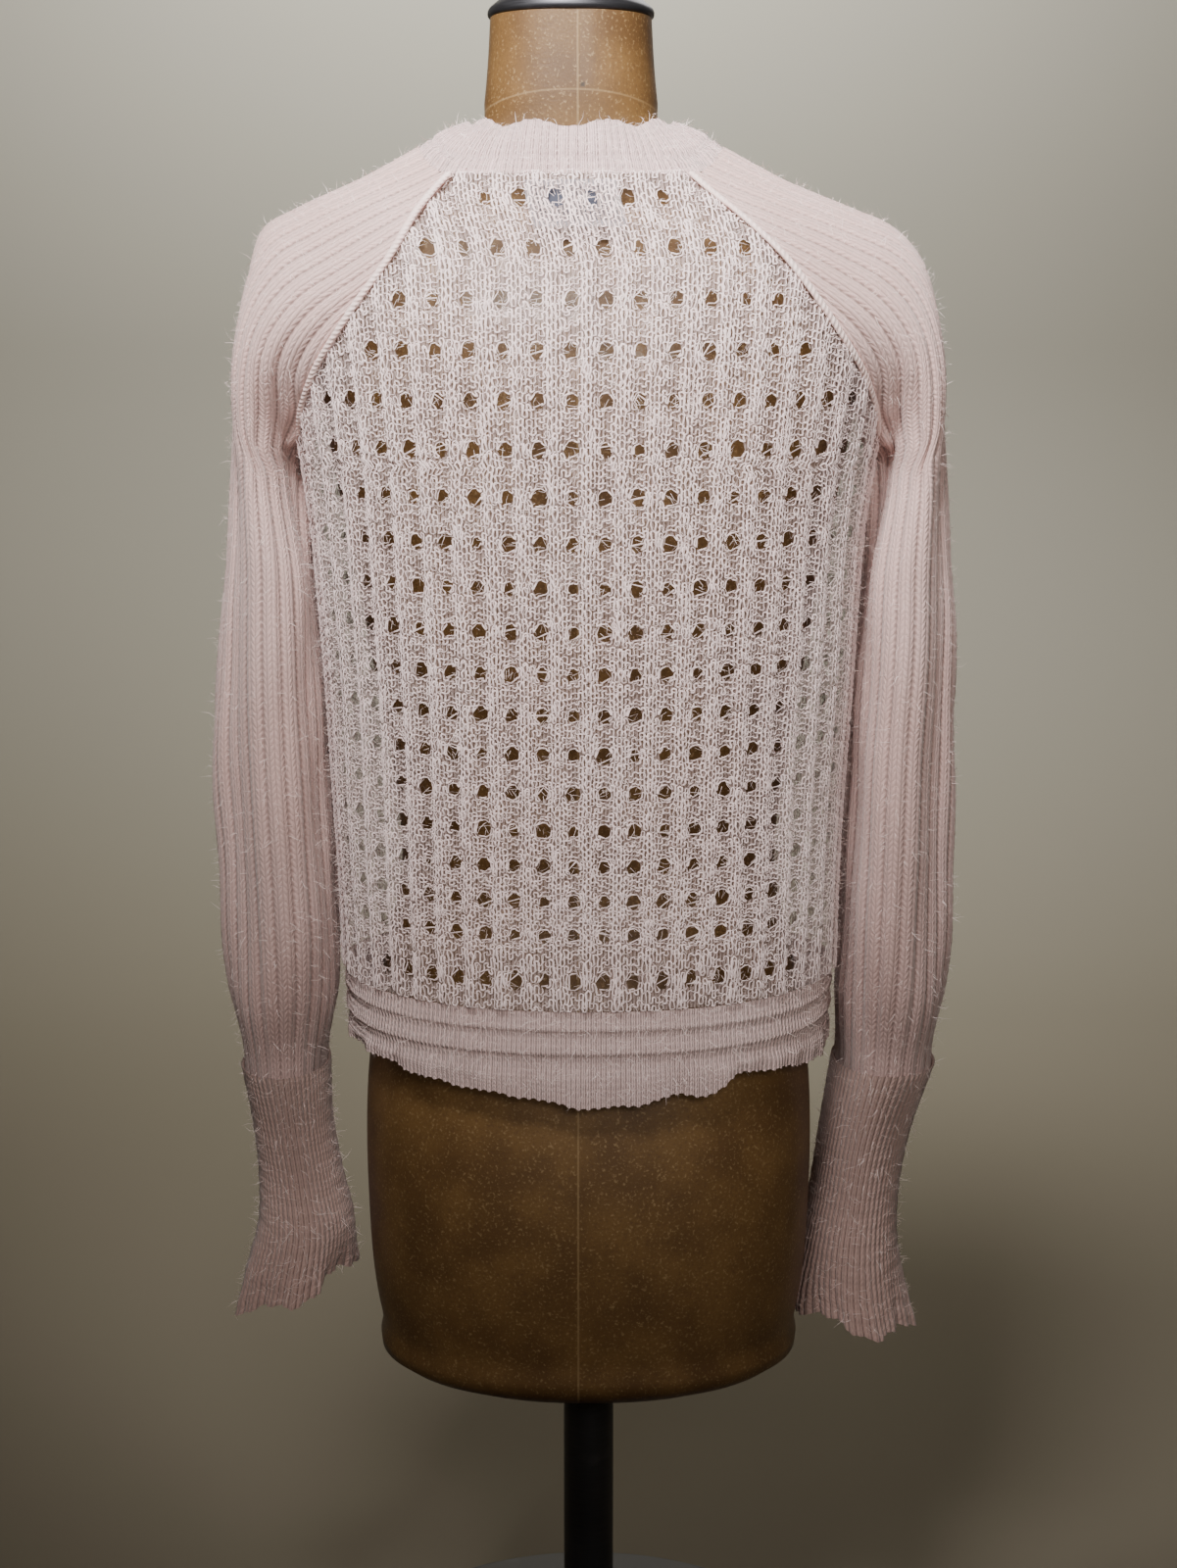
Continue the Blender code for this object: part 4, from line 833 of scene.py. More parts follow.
@dataclass
class LacePanel:
    """A lace panel in cells: c counts ribs across the cloth and r counts eyelet rows down.

    An eyelet lies in the middle of a cell. Everything near it is pushed away from its
    middle: a distance p, in sizes of the eyelet, becomes the cube root of p^3 + 1.
    """

    name: str
    nodes: tuple[str, ...]
    chart: Chart
    places: np.ndarray
    low: np.ndarray
    high: np.ndarray
    start: float
    samples: int
    roof: bool
    seed: int
    plain_edge: float = 0.0125
    rows: np.ndarray = field(default_factory=lambda: np.linspace(0, LACE_ROWS, PANEL_ROWS))

    def __post_init__(self) -> None:
        """Works out the cells that the panel has, and the size of each eyelet."""
        pitch = self.pitch(self.rows)
        self.first = int(math.floor(((self.low - self.start) / pitch).min()))
        self.last = int(math.ceil(((self.high - self.start) / pitch).max()))
        columns = np.arange(self.first, self.last) + 0.5
        rows = np.arange(LACE_ROWS)[:, None] + 0.5
        middle = self.start + columns * self.pitch(rows)
        left = middle - np.interp(rows, self.rows, self.low)
        right = np.interp(rows, self.rows, self.high) - middle
        room = np.minimum(left, right) if self.start == 0 else right
        rng = np.random.default_rng(self.seed)
        sizes = 1 + 0.10 * np.sin(3.7 * columns + 2.3 * rows)
        sizes = sizes * rng.choice((0.72, 0.88, 1.0, 1.1), sizes.shape, p=(0.1, 0.25, 0.4, 0.25))
        self.sizes = np.where((room > self.plain_edge) & (left > 0.004), sizes, 0.0)

    def pitch(self, row: np.ndarray) -> np.ndarray:
        """The distance between two ribs on a row."""
        return PITCH.read("pitch", row_height(row))

    def warped(self, c: np.ndarray, r: np.ndarray) -> tuple[np.ndarray, np.ndarray]:
        """Cell coordinates after each eyelet has pushed its surroundings away."""
        j = np.clip(np.floor(c).astype(int) - self.first, 0, self.sizes.shape[1] - 1)
        k = np.clip(np.floor(r).astype(int), 0, LACE_ROWS - 1)
        size = self.sizes[k, j]
        safe = np.where(size > 0, size, 1.0)
        middle_c, middle_r = j + self.first + 0.5, k + 0.5
        tall = row_height(k) - row_height(k + 1)
        x = (c - middle_c) * self.pitch(r) / (EYELET_WIDE * safe)
        y = (r - middle_r) * tall / (EYELET_TALL * safe)
        near = np.maximum(np.hypot(x, y), 1e-3)
        push = 1 + (np.cbrt(near**3 + 1) / near - 1) * (1 - step_up(near, 1.25, 2.2))
        push = np.where(size > 0, push, 1.0)
        return middle_c + (c - middle_c) * push, middle_r + (r - middle_r) * push

    def relief(self, c: np.ndarray, r: np.ndarray) -> np.ndarray:
        """How far the cloth stands out: ribs between the eyelet columns, and bars in them."""
        rib = LACE_RIB * (0.5 + 0.5 * np.cos(math.tau * c)) ** 1.2
        rib = rib * (1 + 0.5 * np.exp(-((c / 0.5) ** 2)))
        bar = 0.0007 * np.exp(-(((r - np.round(r)) / 0.15) ** 2)) * (0.5 - 0.5 * np.cos(math.tau * c))
        slow = 0.0009 * np.sin(0.9 * c + 0.5 * r + self.seed) * np.sin(0.35 * r - 0.4 * c)
        return rib + bar + slow

    def lay(self, c: np.ndarray, r: np.ndarray) -> tuple[np.ndarray, np.ndarray, np.ndarray]:
        """Points and normals of the cloth, and where they lie on it at all.

        Args:
            c: Cells across.
            r: Rows down.

        Returns:
            Points, normals, and true where the place is within the panel.
        """
        distance = self.start + c * self.pitch(r)
        low, high = np.interp(r, self.rows, self.low), np.interp(r, self.rows, self.high)
        span = np.maximum(high - low, 1e-6)
        share = (distance - low) / span
        places = np.interp(r, self.rows, self.places)
        points, normals = self.chart.read(share, places)
        return points, normals, (share > 0) & (share < 1)

    def shell(self, finish: "KnitFinish") -> Piece:
        """The panel's fine sheet, with its eyelets open."""
        across, down = 8, 8
        c, r = np.meshgrid(
            np.linspace(self.first, self.last, (self.last - self.first) * across + 1),
            np.linspace(0, LACE_ROWS, LACE_ROWS * down + 1),
        )
        warped_c, warped_r = self.warped(c, r)
        points, normals, inside = self.lay(warped_c, warped_r)
        points = points + normals * (self.relief(warped_c, warped_r) + WALL_OUT * 0.4)[..., None]
        some = inside[:-1, :-1] | inside[1:, :-1] | inside[1:, 1:] | inside[:-1, 1:]
        cut = np.repeat(np.repeat(self.sizes > 0, down, axis=0), across, axis=1)
        at_row = np.arange(LACE_ROWS * down) % down
        at_column = np.arange((self.last - self.first) * across) % across
        centre_rows = (at_row == down // 2 - 1) | (at_row == down // 2)
        centre_columns = (at_column == across // 2 - 1) | (at_column == across // 2)
        hole = cut & centre_rows[:, None] & centre_columns[None, :]
        uv = np.stack((c * STITCHES_IN_CELL, -r * COURSES_IN_ROW), axis=-1)
        obj = mesh_object(self.name, points, quad_faces(*c.shape, keep=some & ~hole), uv)
        return dress(obj, finish, self.nodes)

    def yarn(self, finish: "KnitFinish") -> list[Piece]:
        """The knitted yarn on the sheet, one strand a course, as looped strips.

        Along a stitch whose phase is t, the strand goes sideways by a sin 2t, down by
        -b cos t, and out by -h cos 2t, whose sign turns between the ribs and the eyelets.
        """
        rng = np.random.default_rng(self.seed + 1)
        count = (self.last - self.first) * STITCHES_IN_CELL * self.samples + 1
        c = np.linspace(self.first, self.last, count)[None, :]
        course = (np.arange(LACE_ROWS * COURSES_IN_ROW)[:, None] + 0.5) / COURSES_IN_ROW
        phase = math.tau * STITCHES_IN_CELL * c + rng.uniform(-0.5, 0.5, course.shape)
        own = rng.uniform(0, math.tau, (2, *course.shape))
        drift = 0.030 * np.sin(2.3 * c + own[0]) + 0.025 * np.sin(5.1 * c + own[1])
        swell = 1 + 0.25 * np.sin(3.3 * c + own[1]) + 0.20 * np.sin(9.7 * c + own[0])
        knit = np.cos(math.tau * c)
        stray = rng.normal(0, 0.014, (2, len(course), count // self.samples * 2 + 2))
        stray = np.repeat(stray, self.samples // 2 + 1, axis=2)[:, :, :count]
        smooth = np.ones(self.samples) / self.samples
        stray = np.apply_along_axis(np.convolve, 2, stray, smooth, "same")
        slope = 0.045 * (1 - knit) * np.sin(math.tau * (c - 0.5))
        r = course + drift + slope - (0.090 + 0.045 * knit) * swell * np.cos(phase) + stray[0]
        r = np.clip(r, 0.002, LACE_ROWS - 0.002)
        c = c + (0.044 + 0.008 * knit) * swell * np.sin(2 * phase) + stray[1]
        out = WALL_OUT * 0.4 + 0.0007 - 0.0008 * knit * np.cos(2 * phase)
        c, r = self.warped(c, r)
        points, normals, inside = self.lay(c, r)
        points = points + normals * (out + self.relief(c, r))[..., None]
        along = unit(np.gradient(points, axis=1))
        side = np.cross(normals, along)
        wide = YARN_WIDTH * (1 + 0.12 * knit + 0.35 * np.sin(11.3 * c + own[0]))[..., None]
        lines = [points + side * wide, points + normals * wide * 0.9, points - side * wide]
        if not self.roof:
            lines = [lines[0] + normals * wide * 0.3, lines[2] + normals * wide * 0.3]
        made = []
        halves = np.array_split(np.arange(len(course)), 2)
        for number, half in enumerate(halves):
            stack = np.stack([line[half] for line in lines], axis=2)
            keep = inside[half][:, :-1] & inside[half][:, 1:]
            index = np.arange(stack[..., 0].size).reshape(stack.shape[:3])
            near, far = index[:, :-1], index[:, 1:]
            strips = [
                np.stack((near[..., k], far[..., k], far[..., k + 1], near[..., k + 1]), axis=-1)[keep]
                for k in range(len(lines) - 1)
            ]
            faces = np.concatenate(strips)[:, ::-1]
            obj = mesh_object(f"{self.name}_yarn_{number + 1}", stack, faces)
            made.append(dress(obj, finish, self.nodes))
        return made


@dataclass(frozen=True)
class KnitFinish(Finish):
    """Brushed mohair knitting, in one of the cardigan's pinks."""

    name: str
    slot: Slot
    pale: Color
    deep: Color
    bump: float = 0.0
    relief: float = 0.0008
    gaps: float = 0.0
    see_through: float = 0.0
    shade: float = 1.0
    rib_stitches: float = 0.0
    cover: float = 1.0
    # Painted shade that deepens the colour further down the cloth, between two counts of courses.
    thin: float = 0.0
    thin_from: float = 70.0
    thin_to: float = 150.0

    def look(self, work: NodeWork, spot: Socket, cloth: Socket) -> dict[str, object]:
        """Uneven wool, with stitches and ribs where the finish has them, and painted shade in each stitch's
        gap, in the grooves between ribs and further down the cloth.
        """
        mohair = work.group(mohair_group, "Mohair tone", Object=spot)
        color = work.mix(mohair["Tone"], self.pale, self.deep)
        color = work.mix(work.times(mohair["Fleck"], 0.35), color, self.deep)
        sockets, alpha = {}, 1.0
        if self.bump > 0:
            stitches = work.group(stitch_group, "Knitted stitches", UV=cloth)
            dark = tuple(0.42 * value for value in self.deep)
            across, down, _ = work.axes(cloth)
            # Painted shade: each stitch's gap is darkened toward a deep tone, and so are the grooves between
            # ribs.
            shares = [work.times(stitches["Gap"], self.gaps)]
            if self.rib_stitches > 0:
                shares.append(work.times(self.grooves(work, across, down), 0.75))
            # Painted shade: the colour deepens further down the cloth.
            if self.thin > 0:
                free = work.ramp(work.times(down, -1.0), self.thin_from, self.thin_to)
                shares.append(work.times(free, self.thin))
            for share in shares:
                color = work.mix(share, color, dark)
            height = work.plus(stitches["Height"], work.times(work.noise(spot, 1500.0, 1.0), 0.5))
            sockets["Normal"] = work.bump(height, self.bump, self.relief)
            alpha = work.minus(self.cover, work.times(stitches["Gap"], self.see_through * self.cover))
        shadow = work.add("ShaderNodeLightPath").outputs["Is Shadow Ray"]
        whole = work.minus(1.0, work.times(shadow, 1 - self.shade))
        return sockets | {
            "Base Color": color,
            "Alpha": work.times(alpha, whole),
            "Roughness": 0.9,
            "Specular IOR Level": 0.15,
            "Sheen Weight": 0.35,
            "Sheen Roughness": 0.5,
            "Sheen Tint": (1.0, 0.93, 0.9),
        }

    def grooves(
        self, work: NodeWork, across: Socket, down: Socket
    ) -> Socket:
        """Painted shade between two ribs: a row of dark dashes, one for each course."""
        rib = work.math("FRACT", work.math("DIVIDE", work.minus(across, 0.5), self.rib_stitches))
        line = work.ramp(work.off(rib, 0.5), 0.14, 0.03)
        dash = work.ramp(work.off(work.math("FRACT", down), 0.5), 0.05, 0.42)
        return work.times(line, work.plus(0.55, work.times(dash, 0.45)))


# The lace's sheet is a grey-brown far deeper than its yarn: painted shade in the gaps between the loops.
LACE_SHEET = KnitFinish(
    "lace knit haze", Slot.LACE, (0.58, 0.45, 0.42), (0.44, 0.33, 0.30), 0.9, 0.0008, 0.4, 1.0, 0.8, cover=0.6
)
LACE_YARN = KnitFinish("lace yarn", Slot.LACE, (0.93, 0.765, 0.745), (0.84, 0.655, 0.63), shade=0.85)
# The sleeves' knit. Its tones are a little deeper than the other ribs' as painted shade, and more painted
# shade deepens it toward the cuffs.
RIB_KNIT = KnitFinish(
    "rib knit", Slot.RIB, (0.75, 0.53, 0.49), (0.63, 0.41, 0.365), 0.7, 0.0009, 0.36, 0.0, 0.8, 2.0, thin=0.5
)
FINE_RIB = KnitFinish(
    "fine rib knit", Slot.RIB, (0.81, 0.595, 0.575), (0.70, 0.48, 0.45), 0.8, 0.0007, 0.6, 0.0, 0.8
)
NECK_RIB = KnitFinish(
    "neck rib knit", Slot.RIB, (0.81, 0.595, 0.575), (0.70, 0.48, 0.45), 0.8, 0.0009, 0.6, 0.0, 0.8, 2.0
)
HEM_RIB = KnitFinish(
    "hem rib knit", Slot.RIB, (0.84, 0.63, 0.595), (0.73, 0.51, 0.47), 0.9, 0.0011, 0.7, 0.0, 0.8, 1.0
)
# The cuffs' knit: its much deeper tone is painted shade, for the cuffs hang in shadow below the sleeves.
SHADED_CUFF_RIB = KnitFinish(
    "cuff rib knit", Slot.RIB, (0.53, 0.36, 0.315), (0.43, 0.28, 0.24), 0.8, 0.0007, 0.45, 0.0, 0.8, 1.0
)
HALO = KnitFinish("mohair halo", Slot.LACE, (0.92, 0.78, 0.74), (0.84, 0.66, 0.61), shade=0.3)


def outward(points: np.ndarray, faces: np.ndarray, inside: np.ndarray) -> np.ndarray:
    """The faces, turned over if they look at the inner points, which spread to the grid's shape."""
    inside = np.broadcast_to(inside, points.shape).reshape(-1, 3)
    points = points.reshape(-1, 3)
    a, b, c = (points[faces[:, corner]] for corner in range(3))
    facing = float(np.sum(np.cross(b - a, c - a) * (a - inside[faces[:, 0]])))
    return faces if facing > 0 else faces[:, ::-1]


def skin(
    name: str, points: np.ndarray, inside: np.ndarray, uv: np.ndarray | None = None, tube: bool = False
) -> Piece:
    """A piece from a grid of points, whose faces look away from inner points.

    Args:
        name: The piece's name.
        points: Rows by columns by three.
        inside: Inner points, of a shape that spreads to the grid's.
        uv: A pair for each point.
        tube: Whether the last column is the first one.

    Returns:
        The object.
    """
    if tube:
        points[:, -1] = points[:, 0]
    return mesh_object(name, points, outward(points, quad_faces(*points.shape[:2], tube), inside), uv)


def refined(rings: np.ndarray, times: int) -> np.ndarray:
    """Rows of points with each gap between two points split into equal parts."""
    count = (rings.shape[1] - 1) * times + 1
    at = np.linspace(0, rings.shape[1] - 1, count)
    low = np.minimum(at.astype(int), rings.shape[1] - 2)
    share = (at - low)[None, :, None]
    return rings[:, low] * (1 - share) + rings[:, low + 1] * share


def running_length(points: np.ndarray, axis: int) -> np.ndarray:
    """Length along rows (1) or columns (0) of a grid of points, from its first point."""
    steps = np.linalg.norm(np.diff(points, axis=axis), axis=-1)
    start = np.zeros_like(steps[:, :1] if axis == 1 else steps[:1])
    return np.concatenate((start, np.cumsum(steps, axis=axis)), axis=axis)


@dataclass(frozen=True)
class Fold:
    """A long fold down a sleeve: where it runs round a half ring, how wide and how far out."""

    back: int
    at: float
    wide: float
    out: float
    low: float
    high: float
    lean: float = 0.0


FOLDS = (
    Fold(1, 0.64, 0.12, -0.0095, 0.45, 0.84),
    Fold(1, 0.42, 0.13, 0.0055, 0.43, 0.80),
    Fold(-1, 0.55, 0.15, -0.0050, 0.46, 0.84),
    Fold(-1, 0.30, 0.14, 0.0030, 0.44, 0.78),
    Fold(1, 0.13, 0.075, -0.0075, 0.66, 0.88, 0.35),
    Fold(1, 0.27, 0.07, 0.0030, 0.62, 0.86, 0.3),
    Fold(1, 0.22, 0.06, -0.0030, 0.47, 0.72, 0.5),
    Fold(1, 0.82, 0.06, 0.0020, 0.43, 0.70, -0.4),
)


@dataclass
class Sleeve:
    """A ribbed raglan sleeve, whose ribs run beside its highest line down to the cuff."""

    side: Side
    rows: int = 160
    rib: float = 0.0012
    open_rings: int = 19
    closed_rings: int = 22
    leave_station: float = 4.5
    join_height: float = 0.715
    lowest: float = 0.4180
    underarm_share: float = 0.50
    stitches_in_rib: int = 2
    course: float = 0.0040
    cut: tuple[float, ...] = field(default=(), init=False)

    def rings(self) -> np.ndarray:
        """The smooth sleeve as rows of points, from the neck down, back half first."""
        known = []
        for station in np.linspace(0, self.leave_station, self.open_rings):
            halves = {back: shoulder_half(self.side, back, station) for back in (1, -1)}
            known.append(joined_halves(halves))
        last_open = len(known) - 1
        for height in np.linspace(self.join_height, self.lowest, self.closed_rings):
            halves = {back: arm_half(SLEEVES[self.side], self.side, back, height) for back in (1, -1)}
            known.append(joined_halves(halves))
        known = np.array(known)
        along = chain_length(known)
        at = np.linspace(0, along[-1], self.rows)
        rows = through(known, along, at)
        between = (at - along[last_open]) / (along[last_open + 1] - along[last_open])
        for row in np.flatnonzero((between > 0) & (between < 1)):
            self.pull_to_seams(rows[row], float(between[row]))
        return rows

    def pull_to_seams(self, ring: np.ndarray, share: float) -> None:
        """Moves a ring's two ends onto the raglan seams or, below them, onto each other.

        Args:
            ring: A row of points, changed in place.
            share: The ring's place between the last open ring (0) and the first arm ring (1).
        """
        columns = np.arange(len(ring))
        reach = 0.30 * len(ring) / 2
        low = arm_half(SLEEVES[self.side], self.side, 1, self.join_height)[0]
        for back, end in ((1, 0), (-1, -1)):
            if share < self.underarm_share:
                way = share / self.underarm_share
                station = self.leave_station + (UNDERARM_ROW - self.leave_station) * way
                target = seam_point(self.side, back, station)
            else:
                way = (share - self.underarm_share) / (1 - self.underarm_share)
                underarm = seam_point(self.side, back, UNDERARM_ROW)
                target = underarm + (low - underarm) * way
            from_end = columns if end == 0 else columns[::-1]
            weight = 1 - step_up(from_end, 0, reach)
            ring += weight[:, None] * (target - ring[end])

    def folded(self, points: np.ndarray) -> np.ndarray:
        """The points pushed in or out where the long folds run."""
        top = points.shape[1] // 2
        columns = np.arange(points.shape[1])
        back = np.where(columns <= top, 1, -1)
        share = 1 - np.abs(columns - top) / top
        middle = (points[:, :1] + points[:, top : top + 1]) / 2
        away = unit((points - middle) * (1, 1, 0))
        push = np.zeros(points.shape[:2])
        for fold in FOLDS:
            height = points[..., 2]
            strength = step_up(height, fold.low, fold.low + 0.10)
            strength = strength * (1 - step_up(height, fold.high - 0.08, fold.high))
            at = fold.at + fold.lean * (height - (fold.low + fold.high) / 2)
            across = np.exp(-(((share - at) / fold.wide) ** 2)) * (back == fold.back)
            push += across * strength * fold.out
        crumple = np.sin(46 * points[..., 2] + 5 * share + 2 * back) * np.sin(9 * share + 21 * points[..., 2])
        push += 0.0012 * crumple * step_up(0.80 - points[..., 2], 0.0, 0.10)
        return points + away * push[..., None]

    def build(self, finish: KnitFinish) -> Knitted:
        """Makes the sleeve.

        Args:
            finish: Its knit.

        Returns:
            The piece, and its grid of points and of ring middles.
        """
        rings = refined(self.rings(), 5)[:, ::4]
        points = self.folded(rings)
        closed_from = int(np.argmax(np.linalg.norm(rings[:, 0] - rings[:, -1], axis=-1) < 1e-4))
        top = points.shape[1] // 2
        around = running_length(rings, 1)
        around = around - around[:, top : top + 1]
        length = around[:, -1:] - around[:, :1]
        closing = step_up(np.arange(len(rings))[:, None], closed_from - 24, closed_from)
        pitch = SLEEVE_RIB_PITCH + (length / SLEEVE_RIBS - SLEEVE_RIB_PITCH) * closing
        phase = around / pitch
        middle = (points[:, :1] + points[:, top : top + 1]) / 2 + np.zeros_like(points)
        normals = outer_normals(points, middle)
        near_seam = np.minimum(around - around[:, :1], around[:, -1:] - around)
        plain = 1 - (1 - closing) * (1 - step_up(near_seam, 0.002, 0.006))
        down = running_length(rings, 0)[:, top : top + 1]
        from_groove = np.abs(phase - np.floor(phase) - 0.5)
        ridge = 1 - 2.1 * np.exp(-((from_groove / 0.17) ** 2))
        wobble = 0.0002 * np.sin(math.tau * down / 0.0085 + 3 * np.floor(phase))
        lift = self.rib * (0.15 + 0.85 * ridge) * plain + wobble + WALL_OUT * 0.5
        ending = step_up(np.arange(len(rings))[:, None], len(rings) - 16, len(rings) - 4)
        lift = lift * (1 - 0.6 * ending) - 0.0016 * ending
        points = points + normals * lift[..., None]
        points[closed_from:, -1] = points[closed_from:, 0]
        across = phase * self.stitches_in_rib + 0.5
        stitches = np.stack(np.broadcast_arrays(across, -down / self.course), axis=-1)
        obj = skin(f"sleeve_{self.side.word}_knit", points, middle, stitches)
        dress(obj, finish, (f"sleeve_{self.side.word}",))
        wide, long = float(length.max()), float(down[-1, 0])
        area = float(np.trapz(length[:, 0], down[:, 0]))
        self.cut = (wide, long, min(area, wide * long))
        return obj, points, middle


@dataclass
class Cuff:
    """A long fine-ribbed cuff that narrows and then flares into a ruffled edge."""

    side: Side
    rows: int = 58
    ribs: int = 62
    samples: int = 5
    waves: int = 5
    course: float = 0.0038
    cut: tuple[float, ...] = field(default=(), init=False)

    def build(self, finish: KnitFinish) -> Knitted:
        """Makes the cuff.

        Args:
            finish: Its knit.

        Returns:
            The piece, and its grid of points and of ring middles.
        """
        table = CUFFS[self.side]
        levels = len(table.along) - 1
        rings, outs, middles, flares = [], [], [], []
        turn = np.linspace(0, 2, self.ribs * self.samples + 1)
        for share in np.linspace(0, 1, self.rows):
            height = float(np.interp(share * levels, range(levels + 1), table.along[::-1]))
            halves = {back: arm_half(table, self.side, back, height) for back in (1, -1)}
            ring = joined_halves(halves)
            at = turn / 2 * (len(ring) - 1)
            ring = np.stack([np.interp(at, np.arange(len(ring)), ring[:, k]) for k in range(3)], axis=1)
            middle = (halves[1][0] + halves[1][-1]) / 2
            rings.append(ring)
            outs.append(unit((ring - middle) * (1, 0.45, 0)))
            middles.append(np.broadcast_to(middle, ring.shape))
            flares.append(float(step_up(share, 0.55, 1.0)))
        points, out, middle = np.array(rings), np.array(outs), np.array(middles)
        flare = np.array(flares)[:, None]
        wave = np.sin(math.pi * self.waves * turn + self.side.value)[None, :]
        frill = np.sin(math.pi * 17 * turn + 1.3)[None, :] * flare**2
        drop = CUFF_TILT[self.side] * (np.abs(points[..., 0]) - np.abs(middle[..., 0]))
        drop = drop + 0.0032 * wave + 0.0009 * frill
        points = points + out * (flare * 0.0030 * wave + 0.0012 * frill)[..., None]
        points[..., 2] -= flare * drop
        down = running_length(points, 0).mean(axis=1, keepdims=True)
        ridge = np.cos(math.pi * self.ribs * turn)[None, :]
        puckers = 0.0002 * np.sin(math.tau * down / 0.011 + 2 * np.sin(math.pi * 3 * turn)[None, :])
        lift = 0.0007 * ridge * (1 + 0.3 * flare) + puckers + WALL_OUT * 0.5
        points = points + out * lift[..., None]
        points[:, -1] = points[:, 0]
        stitches = np.stack(np.broadcast_arrays(turn * self.ribs / 2 + 0.5, -down / self.course), axis=-1)
        obj = skin(f"cuff_{self.side.word}_knit", points, middle, stitches)
        dress(obj, finish, (f"cuff_{self.side.word}",))
        around = running_length(points, 1)[:, -1]
        wide, long = float(around.max()), float(down[-1, 0])
        self.cut = (wide, long, min(float(np.trapz(around, down[:, 0])), wide * long))
        return obj, points, middle


@dataclass
class Hem:
    """The fine-ribbed hem, with two raised tucks under the lace and a wavy lower edge."""

    ribs: int = 290
    samples: int = 4
    course: float = 0.0036
    drops: tuple[float, ...] = (
        0.0005, 0.0035, 0.0060, 0.0075, 0.0090, 0.0103, 0.0115, 0.0121, 0.0127, 0.0150, 0.0180, 0.0200,
        0.0215, 0.0230, 0.0242, 0.0250, 0.0258, 0.0290, 0.0330, 0.0370, 0.0410, 0.0450, 0.0490, 0.0540,
    )
    cut: tuple[float, ...] = field(default=(), init=False)

    def surface(self, drop: float, share: np.ndarray) -> np.ndarray:
        """The hem's line at a drop, round the body from front edge to front edge."""
        height = LACE_END - drop
        (front_angles, front), (back_angles, back) = quarter(height, -1), quarter(height, 1)
        half = front[-1] - length_to(FRONT_EDGE, height, -1) + back[-1]
        along = np.abs(share - 0.5) * 2 * half
        behind = along <= back[-1]
        back_angle = np.interp(along, back, back_angles)
        front_angle = -np.interp(front[-1] - (along - back[-1]), front, front_angles)
        points = on_section(BODY, np.where(behind, back_angle, front_angle), height)
        points[:, 0] *= np.where(share < 0.5, 1, -1)
        sag = float(SAG.read("sag", height))
        rise = np.where(behind, sag * (along / back[-1]) ** 2, sag * (half - along) / (half - back[-1]))
        late = step_up(drop, 0.6 * self.drops[-1], self.drops[-1])
        fade = step_up(points[:, 1], -0.06, 0.06)
        points[:, 2] += rise + late * (HEM_EDGE.read("rise", points[:, 0]) * fade + 0.006 * (1 - fade))
        return points

    def build(self, finish: KnitFinish) -> Knitted:
        """Makes the hem.

        Args:
            finish: Its knit.

        Returns:
            The piece, its grid of points and the middle line that they face away from.
        """
        share = np.linspace(0, 1, self.ribs * self.samples + 1)
        points = np.array([self.surface(drop, share) for drop in self.drops])
        inner = points * (0.3, 0.3, 1)
        normals = unit(outer_normals(points, inner) * (1, 1, 0))
        drops = np.array(self.drops)[:, None]
        pucker = 1 + 0.15 * np.sin(math.tau * 41 * share)[None, :]
        tuck = HEM_TUCKS.read("raise", drops) * pucker
        ridge = 0.0005 * np.cos(math.tau * self.ribs * share)[None, :]
        loose = step_up(drops, 0.025, 0.054)
        wave = 0.0010 * np.sin(math.tau * 19 * share) + 0.0007 * np.sin(math.tau * 47 * share + 1)
        points = points + normals * (WALL_OUT * 0.6 + tuck + ridge + loose * wave)[..., None]
        edge = step_up(drops, 0.044, 0.054)
        points[..., 2] += 0.0006 * edge * np.cos(math.tau * self.ribs * share / 2)[None, :]
        points[..., 2] += 0.0008 * edge * np.sin(math.tau * 23 * share + 2)[None, :]
        stitches = np.stack(np.broadcast_arrays(share * self.ribs + 0.5, -drops / self.course), axis=-1)
        obj = skin("hem_knit", points, inner, stitches)
        dress(obj, finish, ("hem_band",))
        around = running_length(points, 1)[:, -1]
        self.cut = (float(around.max()), float(drops[-1, 0] - drops[0, 0]))
        return obj, points, inner


